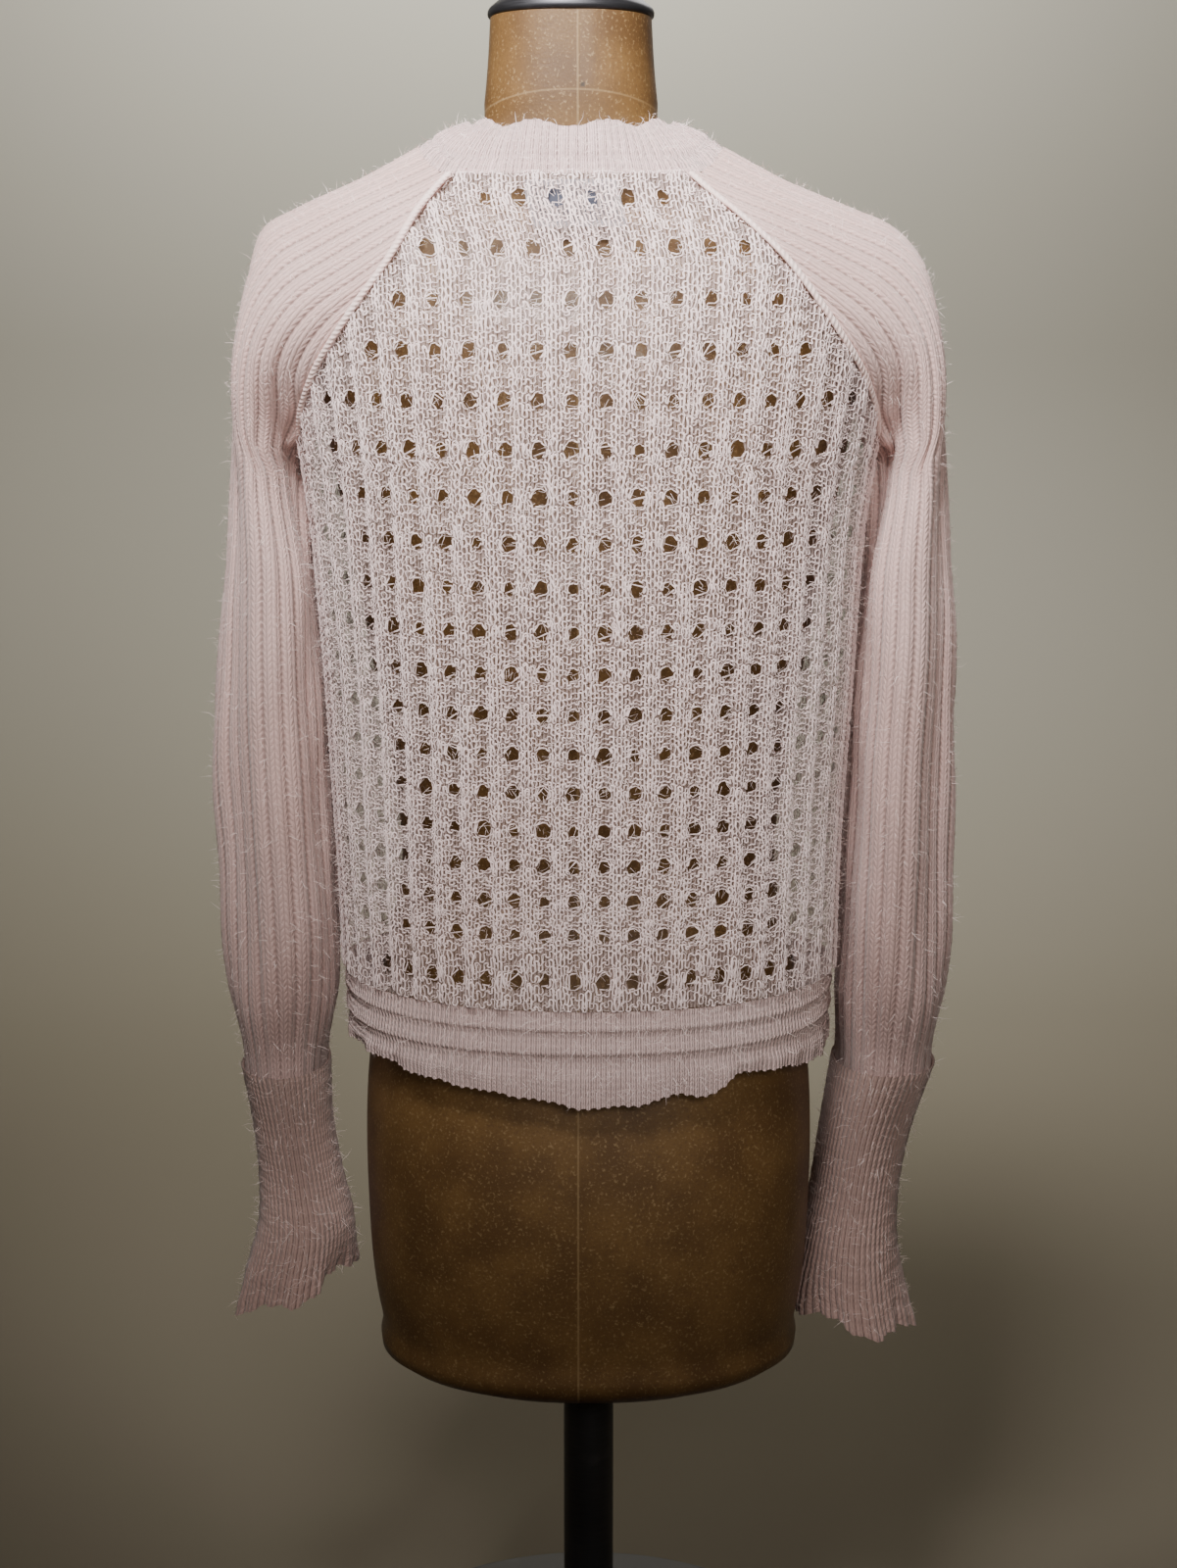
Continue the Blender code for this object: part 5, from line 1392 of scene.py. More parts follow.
@dataclass
class Neckband:
    """The band round the neck: a row of fine stitches below, then wider ribs to its edge."""

    columns: int = 900
    rows: int = 15
    top_side: float = 0.0600
    top_back: float = 0.0475
    top_front: float = 0.0945
    bulge: float = 0.0020
    cut: tuple[float, ...] = field(default=(), init=False)

    def lower_edge(self) -> np.ndarray:
        """Half the lower edge, on the left side, from the centre back to the front edge."""
        back = []
        angles, lengths = quarter(LACE_TOP, 1)
        for length in np.linspace(0, row_reach(0), 5)[:-1]:
            back.append(on_section(BODY, np.interp(length, lengths, angles), np.array(LACE_TOP)))
        halves = {side: shoulder_half(Side.LEFT, side, 0) for side in (1, -1)}
        over = [halves[1][n] for n in (0, 20, 40, 60, 80)] + [halves[-1][n] for n in (60, 40, 20)]
        front = [front_on_body(*neckline(n / 6)) for n in range(7)]
        return np.array(back + over + front)

    def upper_edge(self, low: np.ndarray) -> np.ndarray:
        """The band's upper edge above points of its lower edge."""
        turn = np.arctan2(low[:, 1] + 0.004, low[:, 0])
        depth = np.where(turn > 0, self.top_back, self.top_front)
        x, y = self.top_side * np.cos(turn), depth * np.sin(turn)
        narrow = np.minimum(self.top_side, np.abs(low[:, 0]) * 0.80 + 0.0027)
        x = np.where((low[:, 1] < 0) & (y < -0.03), narrow, x)
        x = np.where((low[:, 1] < 0) & (np.abs(low[:, 0]) <= FRONT_EDGE + 1e-6), np.maximum(x, FRONT_EDGE), x)
        x = np.where(np.abs(low[:, 0]) < 1e-6, 0.0, x)
        return np.stack((x, y, BAND_TOP.read("height", -y)), axis=-1)

    def build(self, finish: KnitFinish) -> Knitted:
        """Makes the neckband.

        Args:
            finish: Its knit.

        Returns:
            The piece, its grid of points and the points that they face away from.
        """
        half = self.lower_edge()
        top = self.upper_edge(half)
        mirror = np.array((-1, 1, 1))
        low, high = (np.concatenate((side[:0:-1] * mirror, side)) for side in (half, top))
        along = chain_length(low)
        at = np.linspace(0, along[-1], self.columns + 1)
        low, high = through(low, along, at), through(high, along, at)
        share = np.linspace(0, 1, self.rows)[:, None]
        points = low[None] + (high - low)[None] * share[..., None]
        inner = np.broadcast_to(np.array((0.0, 0.01, 0.90)), points.shape)
        normals = outer_normals(points, inner)
        position = at[None, :]
        fine = (1 - step_up(share, 0.24, 0.30)) * 0.0005 * np.cos(math.tau * position / 0.0023)
        wander = 0.35 * np.sin(math.tau * position / 0.047) + 0.2 * np.sin(math.tau * position / 0.019)
        wide = np.cos(math.tau * position / 0.0052 + wander * 3)
        wide = step_up(share, 0.26, 0.36) * (0.0009 - 0.0008 * share**2) * wide
        groove = -0.0012 * np.exp(-(((share - 0.27) / 0.035) ** 2))
        lift = self.bulge * np.sin(math.pi * share) + fine + wide + groove + WALL_OUT * 0.5
        points = points + normals * lift[..., None]
        wave = 0.0019 * np.cos(math.tau * 13 * position / along[-1])
        wave = wave + 0.0003 * np.sin(math.tau * position / 0.0105 + wander * 4)
        wave = wave * (0.25 + 0.75 * step_up(np.abs(low[:, 1]), 0.008, 0.035))
        points[..., 2] += share**3 * wave
        across = position / 0.0026 + wander * 3 / math.pi + 0.5
        stitches = np.stack(np.broadcast_arrays(across, share * 8), axis=-1)
        obj = skin("neckband_knit", points, inner, stitches)
        dress(obj, finish, ("neckband",))
        tall = float(np.linalg.norm(high - low, axis=1).mean())
        self.cut = (float(along[-1]), tall)
        return obj, points, inner


@dataclass
class Bands:
    """The two button bands down the front; the right one lies over the left one."""

    over_free: float = 0.0105
    under_free: float = 0.0085
    lift: float = 0.0031
    lowest: float = 0.4370
    highest: float = 0.8930
    forward: float = 0.0945
    rows: int = 150
    course: float = 0.0042

    def depth(self, x: float, height: float) -> float:
        """How far back (negative in front) the bands' middle is at a height."""
        low = neckline(1)[1]
        if height > low:
            edge = float(BODY.read("front", low))
            return -(edge + (self.forward - edge) * (height - low) / (self.highest - low))
        return float(front_on_body(x, height)[1])

    def build(self, finish: KnitFinish) -> None:
        """Makes both bands, each a slim rounded strip with closed sides."""
        for side in Side:
            over = side is Side.RIGHT
            joined = side.value * (FRONT_EDGE - 0.0005)
            free = -side.value * (self.over_free if over else self.under_free)
            share = np.linspace(0, 1, 17)
            heights = np.linspace(self.highest, self.lowest, self.rows)
            x = joined + (free - joined) * share
            rise = self.lift * step_up(share, 0.02, 0.26) if over else 0 * share
            outer = np.array([[(place, self.depth(place, z), z) for place in x] for z in heights])
            courses = 0.0004 * np.cos(math.tau * heights / self.course)[:, None]
            roll = 0.0005 * np.sin(math.pi * share)[None, :]
            inner = outer.copy()
            outer[..., 1] -= rise + WALL_OUT + courses + roll
            inner[..., 1] -= rise - 0.0006
            ring = np.concatenate((outer, inner[:, ::-1], outer[:, :1]), axis=1)
            middle = (outer.mean(axis=1) + inner.mean(axis=1))[:, None] / 2
            faces = outward(ring, quad_faces(*ring.shape[:2], tube=True), middle)
            count = ring.shape[1]
            ends = []
            for row, way in ((0, 1), (self.rows - 1, -1)):
                index = row * count + np.arange(count - 1)
                index[-1] = row * count + count - 2
                left, right = index[: len(share)], index[len(share) :][::-1]
                quads = np.stack((left[:-1], left[1:], right[1:], right[:-1]), axis=-1)
                ends.append(quads[:, ::way])
            faces = np.concatenate((faces, *ends))
            columns = np.concatenate((share, np.full(len(share), 1.2), [0.0]))
            stitches = np.stack(np.broadcast_arrays(columns * 8, ring[..., 2] / self.course), axis=-1)
            obj = mesh_object(f"button_band_{side.word}_knit", ring, faces, stitches)
            dress(obj, finish, (f"button_band_{side.word}",))


def turned(
    name: str, profile: np.ndarray, sides: int, depth: float = 1.0, centre: Sequence[float] = (0, 0, 0)
) -> Piece:
    """A closed round piece about Z, from its highest point on the axis to its lowest one.

    Args:
        name: The piece's name.
        profile: Radius and height pairs, both ends on the axis.
        sides: How many sides it has.
        depth: Its size along Y as a share of that along X.
        centre: Where its axis stands.

    Returns:
        The object.
    """
    turn = np.linspace(0, math.tau, sides + 1)
    radius, height = profile[:, 0][:, None], profile[:, 1][:, None]
    points = np.stack(
        (radius * np.cos(turn), radius * depth * np.sin(turn), height + 0 * turn), axis=-1
    ) + np.array(centre)
    return skin(name, points, points.mean(axis=1, keepdims=True), tube=True)


def rounded(profile: Sequence[tuple[float, float]], radius: float, steps: int = 5) -> np.ndarray:
    """A profile with its inner corners rounded by short curves."""
    corners = np.array(profile, float)
    found = [corners[:1]]
    for before, corner, after in zip(corners, corners[1:], corners[2:]):
        reach = min(radius, np.linalg.norm(corner - before) / 2, np.linalg.norm(after - corner) / 2)
        start = corner + unit(before - corner) * reach
        end = corner + unit(after - corner) * reach
        t = np.linspace(0, 1, steps)[:, None]
        found.append((1 - t) ** 2 * start + 2 * t * (1 - t) * corner + t * t * end)
    return np.concatenate((*found, corners[-1:]))


@dataclass(frozen=True)
class ShellFinish(Finish):
    """Pearly button shell, with soft bands of tone."""

    name: str = "button shell"
    slot: Slot = Slot.BUTTON
    base: Color = (0.78, 0.68, 0.62)
    deep: Color = (0.62, 0.48, 0.42)

    def look(self, work: NodeWork, spot: Socket, cloth: Socket) -> dict[str, object]:
        """Clouds of tone under a faint gloss."""
        return {
            "Base Color": work.mix(work.ramp(work.noise(spot, 260.0, 3.0), 0.35, 0.65), self.base, self.deep),
            "Roughness": work.plus(0.16, work.times(work.noise(spot, 1200.0, 1.0), 0.16)),
            "Coat Weight": 0.5,
            "Coat Roughness": 0.1,
        }


@dataclass
class Buttons:
    """Seven round buttons down the over band, each with a rim and four holes."""

    count: int = 7
    radius: float = 0.006
    thick: float = 0.0028
    lowest: float = 0.447
    highest: float = 0.862
    lift: float = 0.0031
    hole_out: float = 0.00105
    hole_deep: float = 0.0013
    sides: int = 40

    def build(self, finish: ShellFinish) -> list[Piece]:
        """Makes the buttons.

        The face is a dish inside a raised rim, and each hole is a steep dip of the face.
        """
        share = np.concatenate((np.linspace(0, 0.72, 15), np.linspace(0.76, 1.0, 7)))
        turn = np.linspace(0, math.tau, self.sides + 1)
        radius = self.radius * share[:, None]
        across, up = radius * np.cos(turn), radius * np.sin(turn)
        rim = 0.00055 * np.exp(-(((share - 0.80) / 0.10) ** 2))[:, None]
        edge = 0.0011 * step_up(share, 0.86, 1.0)[:, None]
        dips = np.zeros_like(across)
        for x, z in ((1, 1), (1, -1), (-1, 1), (-1, -1)):
            near = np.hypot(across - x * self.hole_out, up - z * self.hole_out)
            dips += self.hole_deep * (1 - step_up(near, 0.00035, 0.00065))
        face = self.thick / 2 - 0.0006 + rim - edge - dips
        made = []
        for number in range(self.count):
            height = self.lowest + (self.highest - self.lowest) * number / (self.count - 1)
            front = min(front_on_body(0.0, height + step)[1] for step in (-0.006, 0.0, 0.006))
            y = front - (self.lift + WALL_OUT + 0.0007 + self.thick / 2)
            front_grid = np.stack((across, y - face, up + height), axis=-1)
            rear = np.stack(
                (across, np.full(across.shape, y + self.thick / 2) - 0.4 * edge, up + height), axis=-1
            )
            points = np.concatenate((front_grid, rear[::-1]))
            obj = skin(f"button_{number + 1}_shell", points, np.array((0.0, y, height)), tube=True)
            made.append(dress(obj, finish, (f"button_{number + 1}",)))
        return made


@dataclass(frozen=True)
class CordFinish(Finish):
    """The linked seam: smooth stretched loops in a clearer pink."""

    name: str = "linked seam"
    slot: Slot = Slot.SEAM
    pale: Color = (0.98, 0.78, 0.72)
    deep: Color = (0.93, 0.67, 0.61)

    def look(self, work: NodeWork, spot: Socket, cloth: Socket) -> dict[str, object]:
        """Slanting loops along the seam, with painted shade between two of them."""
        across, down, _ = work.axes(cloth)
        slant = work.plus(down, work.times(across, 1.2))
        loop = work.math("SINE", work.times(slant, math.tau))
        color = work.mix(work.ramp(work.noise(spot, 120.0, 3.0), 0.3, 0.7), self.pale, self.deep)
        return {
            # Painted shade: the troughs between the loops are darkened.
            "Base Color": work.mix(work.times(work.ramp(loop, 0.2, -1.0), 0.35), color, self.deep),
            "Normal": work.bump(loop, 0.5, 0.0004),
            "Roughness": 0.55,
            "Sheen Weight": 0.3,
        }


@dataclass
class SeamCord:
    """The smooth raised line over one raglan seam."""

    side: Side
    back: int
    wide: float = 0.0021
    thick: float = 0.0016
    loop: float = 0.0032
    rows: int = 160
    sides: int = 12

    def build(self, chart: Chart, finish: CordFinish) -> Piece:
        """Makes the line as a flattened tube beside the panel's edge.

        Args:
            chart: The surface of the panel that the seam joins.
            finish: Its material.

        Returns:
            The piece.
        """
        stations = np.linspace(0.06, 5.3, self.rows)
        centre = np.array([seam_point(self.side, self.back, station) for station in stations])
        if self.back > 0:
            v = stations / LACE_ROWS
            u = np.full(v.shape, 1.0 if self.side is Side.LEFT else 0.0)
        else:
            v = stations / UNDERARM_ROW * YOKE_STEPS / (len(chart.points) - 1)
            u = np.ones(v.shape)
        _, out = chart.read(u, v)
        along = unit(np.gradient(centre, axis=0))
        away = unit(centre * (1, 0, 0) + (0.0, 0.0, 0.35 * self.wide))
        out = unit(out + 0.35 * away - along * np.sum(out * along, axis=-1, keepdims=True))
        side = np.cross(along, out)
        centre = centre + out * (WALL_OUT + 0.0040) - away * 0.0020
        turn = np.linspace(0, math.tau, self.sides + 1)
        taper = np.sqrt(np.clip(np.minimum(stations - 0.05, 5.32 - stations) / 0.05, 0.05, 1.0))
        sideways = side[:, None] * (self.wide * np.cos(turn))[:, None]
        upward = out[:, None] * (self.thick * np.sin(turn))[:, None]
        points = centre[:, None] + (sideways + upward) * taper[:, None, None]
        length = running_length(centre[:, None], 0)
        stitches = np.stack(np.broadcast_arrays(turn / math.pi, length / self.loop), axis=-1)
        where = "back" if self.back > 0 else "front"
        node = f"raglan_seam_{where}_{self.side.word}"
        obj = skin(f"{node}_loops", points, centre[:, None], stitches, tube=True)
        return dress(obj, finish, (node,))


@dataclass(frozen=True)
class LabelFinish(Finish):
    """Navy woven label cloth with a paler border."""

    name: str = "label cloth"
    slot: Slot = Slot.LABEL
    navy: Color = (0.010, 0.014, 0.034)
    border: Color = (0.30, 0.30, 0.33)
    border_wide: float = 0.035
    border_tall: float = 0.065

    def look(self, work: NodeWork, spot: Socket, cloth: Socket) -> dict[str, object]:
        """Fine woven threads, and a border worked out from the cloth's edges."""
        edges = [
            work.ramp(work.off(place, 0.5), 0.5 - 2.2 * width, 0.5 - 1.8 * width)
            for place, width in zip(work.axes(cloth), (self.border_wide, self.border_tall))
        ]
        threads = work.add("ShaderNodeTexWave", wave_type="BANDS", bands_direction="Z")
        work.feed(threads, Vector=spot, Scale=700.0)
        woven = work.mix(work.times(threads.outputs["Fac"], 0.25), self.navy, self.border)
        return {
            "Base Color": work.mix(work.math("MAXIMUM", *edges), woven, self.border),
            "Normal": work.bump(threads.outputs["Fac"], 0.3, 0.0002),
            "Roughness": 0.8,
        }


@dataclass
class Label:
    """A blank cloth label inside the back, just below the neckband."""

    half_width: float = 0.026
    low: float = 0.9155
    high: float = 0.9425
    behind: float = 0.0014
    rows: int = 25
    columns: int = 49

    def build(self, finish: LabelFinish) -> Piece:
        """Makes the label, curved as the back is."""
        rows = []
        out = np.linspace(-self.half_width, self.half_width, self.columns)
        for height in np.linspace(self.high, self.low, self.rows):
            angles, lengths = quarter(height, 1)
            row = on_section(BODY, np.interp(np.abs(out), lengths, angles), height)
            row[:, 0] = np.copysign(row[:, 0], out)
            rows.append(row)
        points = np.array(rows)
        normals = outer_normals(points, points * (1, 0, 1))
        points = points - normals * (self.behind + 0.0002 * np.sin(60 * out)[:, None])
        grid = np.meshgrid(np.linspace(0, 1, self.columns), np.linspace(0, 1, self.rows))
        obj = skin("neck_label_cloth", points, points * (1, 0, 1), np.stack(grid, axis=-1))
        dress(obj, finish, ("neck_label",))
        return obj


@dataclass(frozen=True)
class KraftFinish(Finish):
    """Speckled brown paper, varnished, with a fine pale seam down the middle of the back."""

    name: str = "kraft paper"
    slot: Slot = Slot.KRAFT
    tan: Color = (0.165, 0.088, 0.027)
    brown: Color = (0.105, 0.052, 0.016)
    pale: Color = (0.34, 0.23, 0.11)
    dark_speck: Color = (0.10, 0.05, 0.02)
    pin_hole: Color = (0.03, 0.02, 0.012)
    seam_out: float = 0.0059
    neck_seam: float = 0.983
    neck_seam_arch: float = 0.009
    neck_depth: float = 0.041
    pin_out: float = 0.0032
    pin_height: float = 0.9945

    def look(self, work: NodeWork, spot: Socket, cloth: Socket) -> dict[str, object]:
        """Blotches and specks, then the seam down the back, the neck's seam, and a pin hole as a dark dot of
        painted shade.
        """
        out, forward, height = work.axes(spot)
        behind = work.math("GREATER_THAN", forward, 0.0)
        speck = work.noise(spot, 620.0, 3.0)
        line = work.times(work.ramp(work.off(out, self.seam_out), 0.0009, 0.0003), behind)
        depth = work.math("DIVIDE", forward, self.neck_depth)
        arch = work.plus(self.neck_seam, work.times(work.times(depth, depth), self.neck_seam_arch))
        # The pin hole is a near-black dot of painted shade, not a hole in the surface.
        pin = work.math("MAXIMUM", work.off(out, self.pin_out), work.off(height, self.pin_height))
        hole = work.times(work.ramp(pin, 0.0018, 0.0006), behind)
        color = work.mix(work.ramp(work.noise(spot, 28.0, 4.0), 0.3, 0.7), self.tan, self.brown)
        for mask, strength, over in (
            (work.ramp(speck, 0.56, 0.7), 0.55, self.pale),
            (work.ramp(speck, 0.44, 0.33), 0.5, self.dark_speck),
            (line, 0.45, self.pale),
            (work.ramp(work.off(height, arch), 0.0008, 0.0002), 0.4, self.pale),
            (hole, 0.85, self.pin_hole),
        ):
            color = work.mix(work.times(mask, strength), color, over)
        return {
            "Base Color": color,
            "Normal": work.bump(work.plus(speck, line), 0.35, 0.0004),
            "Roughness": 0.55,
            "Coat Weight": 0.1,
        }


@dataclass(frozen=True)
class MetalFinish(Finish):
    """Dark brushed metal, a little scuffed."""

    name: str = "dark metal"
    slot: Slot = Slot.METAL
    dark: Color = (0.045, 0.045, 0.05)
    worn: Color = (0.12, 0.12, 0.125)

    def look(self, work: NodeWork, spot: Socket, cloth: Socket) -> dict[str, object]:
        """Fine level brush marks and a few scuffs."""
        stretch = work.add("ShaderNodeMapping")
        work.feed(stretch, Vector=spot, Scale=(1.0, 1.0, 22.0))
        brushed = work.noise(stretch.outputs["Vector"], 60.0, 3.0)
        scuffs = work.ramp(work.noise(spot, 34.0, 5.0), 0.58, 0.72)
        color = work.mix(work.times(brushed, 0.5), self.dark, self.worn)
        return {
            "Base Color": work.mix(work.times(scuffs, 0.4), color, self.worn),
            "Metallic": 0.85,
            "Roughness": work.plus(0.34, work.times(brushed, 0.22)),
        }


@dataclass(frozen=True)
class WallFinish(Finish):
    """The backdrop, with painted shade that darkens it toward the floor and the camera."""

    name: str = "backdrop"
    low: Color = (0.20, 0.176, 0.126)
    high: Color = (0.65, 0.625, 0.54)

    def look(self, work: NodeWork, spot: Socket, cloth: Socket) -> dict[str, object]:
        """Painted shade: a slow change of tone with the height and the way back."""
        _, forward, height = work.axes(spot)
        rise = work.minus(height, work.times(forward, 0.45))
        return {"Base Color": work.mix(work.ramp(rise, 0.3, 2.7), self.low, self.high), "Roughness": 0.95}


@dataclass
class DressForm:
    """The limbless form that fills the cardigan, and the stand it is on."""

    rows: int = 120
    sides: int = 96
    cap_depth: float = 0.88
    cap: tuple[tuple[float, float], ...] = (
        (0.0, 1.0565), (0.0200, 1.0545), (0.0370, 1.0485), (0.0475, 1.0400), (0.0475, 1.0353), (0.0, 1.0353),
    )
    post: tuple[tuple[float, float], ...] = (
        (0.0, 0.2347), (0.0155, 0.2347), (0.0155, 0.0183), (0.0, 0.0183),
    )
    base: tuple[tuple[float, float], ...] = (
        (0.0, 0.0180), (0.1600, 0.0180), (0.1600, 0.0000), (0.0, 0.0000),
    )

    def torso(self, finish: KraftFinish) -> Piece:
        """The form's body, a stack of round sections closed at both ends."""
        low, high = float(FORM.along[0]), float(FORM.along[-1])
        heights = high - (high - low) * np.linspace(0, 1, self.rows)
        turn = np.linspace(0, math.tau, self.sides + 1)
        body = on_section(FORM, turn[None, :], heights[:, None])
        ends = []
        for ring in (body[0], body[-1]):
            middle = ring.mean(axis=0)
            ends.append([middle + (ring - middle) * share for share in (0.0, 0.5, 0.9)])
        points = np.concatenate((np.array(ends[0]), body, np.array(ends[1][::-1])))
        obj = skin("form_torso_paper", points, points.mean(axis=1, keepdims=True), tube=True)
        obj.data.set_sharp_from_angle(angle=math.radians(50))
        return dress(obj, finish, ("form_torso",))

    def build(self, paper: KraftFinish, metal: MetalFinish) -> list[Piece]:
        """Makes the torso, the cap, the post and the base."""
        made = [self.torso(paper)]
        for name, profile, radius, depth, sides, node in (
            ("form_cap_metal", self.cap, 0.0022, self.cap_depth, 112, "form_neck_cap"),
            ("stand_post_metal", self.post, 0.0006, 1.0, 48, "stand_post"),
            ("stand_base_metal", self.base, 0.0040, 1.0, 144, "stand_base"),
        ):
            obj = turned(name, rounded(profile, radius), sides, depth)
            obj.data.set_sharp_from_angle(angle=math.radians(40))
            made.append(dress(obj, metal, (node,)))
        return made


@dataclass
class Halo:
    """Fine brushed hairs that stand off a piece of knitting."""

    count: int
    seed: int
    shortest: float = 0.004
    longest: float = 0.010
    root_width: float = 0.00011

    def build(
        self, name: str, points: np.ndarray, centre: np.ndarray, slot: Slot, finish: KnitFinish
    ) -> Piece:
        """Makes the hairs, each a bent strip that narrows to a point.

        Args:
            name: The piece's name.
            points: The knitting's grid of points.
            centre: Points inside it, of the same shape.
            slot: Not used.
            finish: The hairs' material.

        Returns:
            The piece.
        """
        rng = np.random.default_rng(self.seed)
        corner = points[:-1, :-1]
        down, across = points[1:, :-1] - corner, points[:-1, 1:] - corner
        cross = np.cross(down, across)
        area = np.linalg.norm(cross, axis=-1)
        normal = unit(cross) * np.sign(np.sum(cross * (corner - centre[:-1, :-1]), axis=-1, keepdims=True))
        chosen = rng.choice(area.size, self.count, p=(area / area.sum()).ravel())
        s, t = rng.random((2, self.count, 1))
        flat = [values.reshape(-1, 3)[chosen] for values in (corner, down, across, normal)]
        root = flat[0] + flat[1] * s + flat[2] * t
        out = flat[3]
        first = unit(rng.normal(size=(self.count, 3)))
        first = unit(first - out * np.sum(first * out, axis=-1, keepdims=True))
        second = unit(first + 0.8 * rng.normal(size=(self.count, 3)))
        length = rng.uniform(self.shortest, self.longest, (self.count, 1))
        stand = rng.uniform(0.15, 0.75, (self.count, 1))
        middle = root + (first + out * stand) * length * 0.5
        tip = middle + (second + out * (stand - 0.35)) * length * 0.5
        side = unit(np.cross(first, out)) * self.root_width
        points = np.stack((root - side, root + side, middle - side * 0.8, middle + side * 0.8, tip), axis=1)
        index = np.arange(self.count)[:, None] * 5
        faces = np.concatenate((index + (0, 1, 3), index + (0, 3, 2), index + (2, 3, 4)))
        obj = mesh_object(name, points, faces)
        return dress(obj, finish)


@dataclass
class Studio:
    """The camera at the photograph's place, soft lights, and a plain floor with a backdrop."""

    distance: float = 1.392
    height: float = 0.826
    tilt: float = math.atan(1 / 6)
    lens: float = 54.0

    def camera(self) -> None:
        """Puts the camera behind the form, as the photograph's was."""
        data = bpy.data.cameras.new("view")
        data.lens, data.sensor_width, data.sensor_fit = self.lens, 36.0, "AUTO"
        data.clip_start, data.clip_end = 0.05, 60.0
        camera = bpy.data.objects.new("view", data)
        bpy.context.scene.collection.objects.link(camera)
        camera.location = (0.0, self.distance, self.height)
        camera.rotation_euler = (QUARTER_TURN - self.tilt, 0.0, math.pi)
        bpy.context.scene.camera = camera

    def light(
        self,
        name: str,
        place: Sequence[float],
        size: float,
        power: float,
        color: Sequence[float],
        target: Sequence[float] = (0.0, 0.0, 0.80),
        spread: float = 180.0,
    ) -> None:
        """A square area light at a place, turned to a target."""
        data = bpy.data.lights.new(name, "AREA")
        data.energy, data.size, data.color = power, size, color
        data.spread = math.radians(spread)
        lamp = bpy.data.objects.new(name, data)
        bpy.context.scene.collection.objects.link(lamp)
        lamp.location = place
        toward = np.array(target) - np.array(place)
        flat = math.hypot(toward[0], toward[1])
        lamp.rotation_euler = (math.atan2(flat, -toward[2]), 0.0, math.atan2(-toward[0], toward[1]))

    def backdrop(self) -> Piece:
        """A floor that sweeps up into a wall on the far side from the camera."""
        t = np.linspace(0, 1, 24)
        floor = np.stack((3.5 - 5.2 * t, 0 * t), axis=1)
        turn = np.linspace(0, QUARTER_TURN, 24)[1:]
        sweep = np.stack((-1.7 - 0.9 * np.sin(turn), 0.9 - 0.9 * np.cos(turn)), axis=1)
        wall = np.stack((np.full(12, -2.6), np.linspace(0.9, 4.0, 13)[1:]), axis=1)
        profile = np.concatenate((floor, sweep, wall))
        across = np.linspace(-4.5, 4.5, 25)
        points = np.stack(np.broadcast_arrays(across, profile[:, :1], profile[:, 1:] - 0.0005), axis=-1)
        obj = mesh_object("backdrop", points, quad_faces(*points.shape[:2])[:, ::-1])
        obj.data.materials.append(WallFinish().material())
        return obj

    def build(self) -> None:
        """Sets up everything that isn't the object."""
        self.camera()
        self.backdrop()
        self.light("key", (0.22, 0.80, 1.75), 0.5, 5.5, (1.0, 0.98, 0.985), (0.0, 0.0, 1.10), 52.0)
        self.light("fill", (-0.3, 1.7, 1.35), 0.6, 0.75, (1.0, 0.965, 0.93), (0.0, 0.1, 0.70), 30.0)
        self.light(
            "backdrop_light", (0.1, -1.5, 2.7), 1.0, 36.0, (1.0, 0.985, 0.94), (0.1, -2.6, 1.65), 140.0
        )
        self.light("front_light", (-0.8, -1.5, 2.1), 0.8, 1.8, (1.0, 0.98, 0.97), (0.0, 0.0, 0.75), 60.0)
        world = bpy.data.worlds.new("studio")
        world.use_nodes = True
        world.node_tree.nodes["Background"].inputs["Color"].default_value = (0.82, 0.66, 0.52, 1.0)
        world.node_tree.nodes["Background"].inputs["Strength"].default_value = 0.08
        bpy.context.scene.world = world


def panel_rows(side: Side | None) -> tuple[np.ndarray, np.ndarray, np.ndarray]:
    """Where a panel's rows lie: their place down its chart, and their two ends.

    Args:
        side: The side of a front panel, or None for the back.

    Returns:
        Three arrays over the rows: the chart's share, and the lengths at both ends.
    """
    rows = np.linspace(0, LACE_ROWS, PANEL_ROWS)
    if side is None:
        reach = np.array([row_reach(row) for row in rows])
        return rows / LACE_ROWS, -reach, reach
    found = []
    for row in rows:
        if row <= UNDERARM_ROW:
            line, steps = yoke_row(row), row / UNDERARM_ROW * YOKE_STEPS
        else:
            line = side_row(float(row_height(row)))
            below = UNDERARM - min(line.start, UNDERARM)
            steps = YOKE_STEPS + below / (UNDERARM - LACE_END) * SIDE_STEPS
        found.append((steps / (YOKE_STEPS + SIDE_STEPS), line.first, line.last))
    places, low, high = np.array(found).T
    return places, low, high


def flat_area(panel: LacePanel) -> tuple[float, float, float]:
    """A lace panel's flat width, length and area, from its rows."""
    wide = panel.high - panel.low
    down = row_height(0) - row_height(panel.rows)
    area = float(np.trapz(wide, down))
    return float(wide.max()), float(down[-1]), area


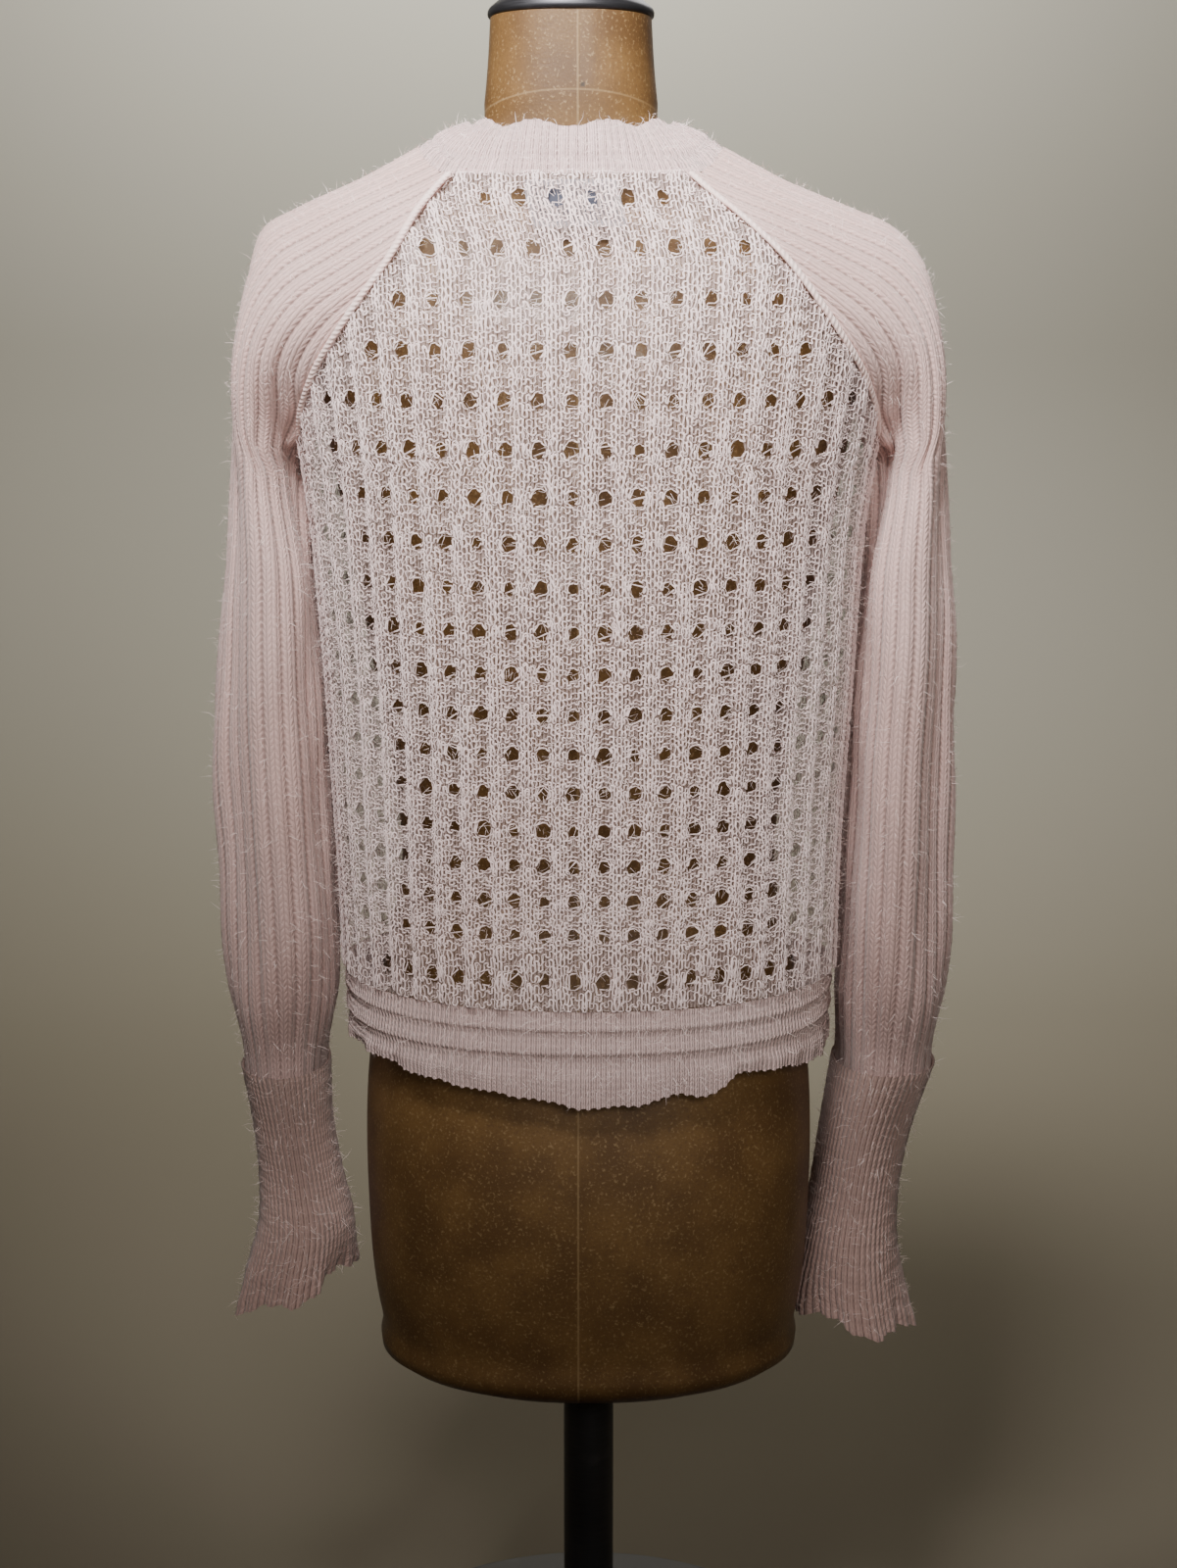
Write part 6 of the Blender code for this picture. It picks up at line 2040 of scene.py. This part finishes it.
def make_lace(charts: dict[Side | None, Chart]) -> None:
    """Makes the three lace panels with their yarn and hairs. The chart under None is the back's."""
    for side, chart in charts.items():
        behind = side is None
        word = "back_panel" if behind else f"front_{side.word}"
        first = 0.0 if behind else length_to(FRONT_EDGE, 0.7, -1) - 0.002
        samples, hairs = (8, 11000) if behind else (4, 2600)
        panel = LacePanel(
            f"{word}_knit", (word,), chart, *panel_rows(side), first, samples, behind, 7 + len(word)
        )
        sheet = panel.shell(LACE_SHEET)
        pieces = panel.yarn(LACE_YARN)
        grid = chart.points[::2, ::2] + chart.normals[::2, ::2] * (WALL_OUT + LACE_RIB)
        halo = Halo(hairs, 40 + len(word)).build(f"{word}_halo", grid, grid * (0.2, 0.2, 1), Slot.LACE, HALO)
        wide, long, area = flat_area(panel)
        area = min(area, wide * long)


def make_ribbed() -> None:
    """Makes the sleeves, cuffs, hem, neckband and button bands with their hairs."""
    for side in Side:
        for part, finish, hairs in ((Sleeve(side), RIB_KNIT, 5200), (Cuff(side), SHADED_CUFF_RIB, 1900)):
            obj, points, middle = part.build(finish)
            name = obj.name.replace("_knit", "_halo")
            hair = Halo(hairs, 60 + len(name) + side.value)
            halo = hair.build(name, points[::2, ::3], middle[::2, ::3], Slot.RIB, HALO)
    for part, finish, hairs in ((Hem(), HEM_RIB, 3000), (Neckband(), NECK_RIB, 1500)):
        obj, points, middle = part.build(finish)
        name = obj.name.replace("_knit", "_halo")
        hair = Halo(hairs, 90 + len(name))
        halo = hair.build(name, points[::2, ::4], middle[::2, ::4], Slot.RIB, HALO)
    Bands().build(FINE_RIB)


def main() -> None:
    """Builds the stage and every piece of the cardigan, in order."""
    logging.basicConfig(level=logging.INFO)
    Studio().build()
    DressForm().build(KraftFinish(), MetalFinish())
    charts = {None: back_chart()} | {side: front_chart(side) for side in Side}
    make_lace(charts)
    make_ribbed()
    for side in Side:
        SeamCord(side, 1).build(charts[None], CordFinish())
        SeamCord(side, -1).build(charts[side], CordFinish())
    Buttons().build(ShellFinish())
    Label().build(LabelFinish())


if __name__ == "__main__":
    main()
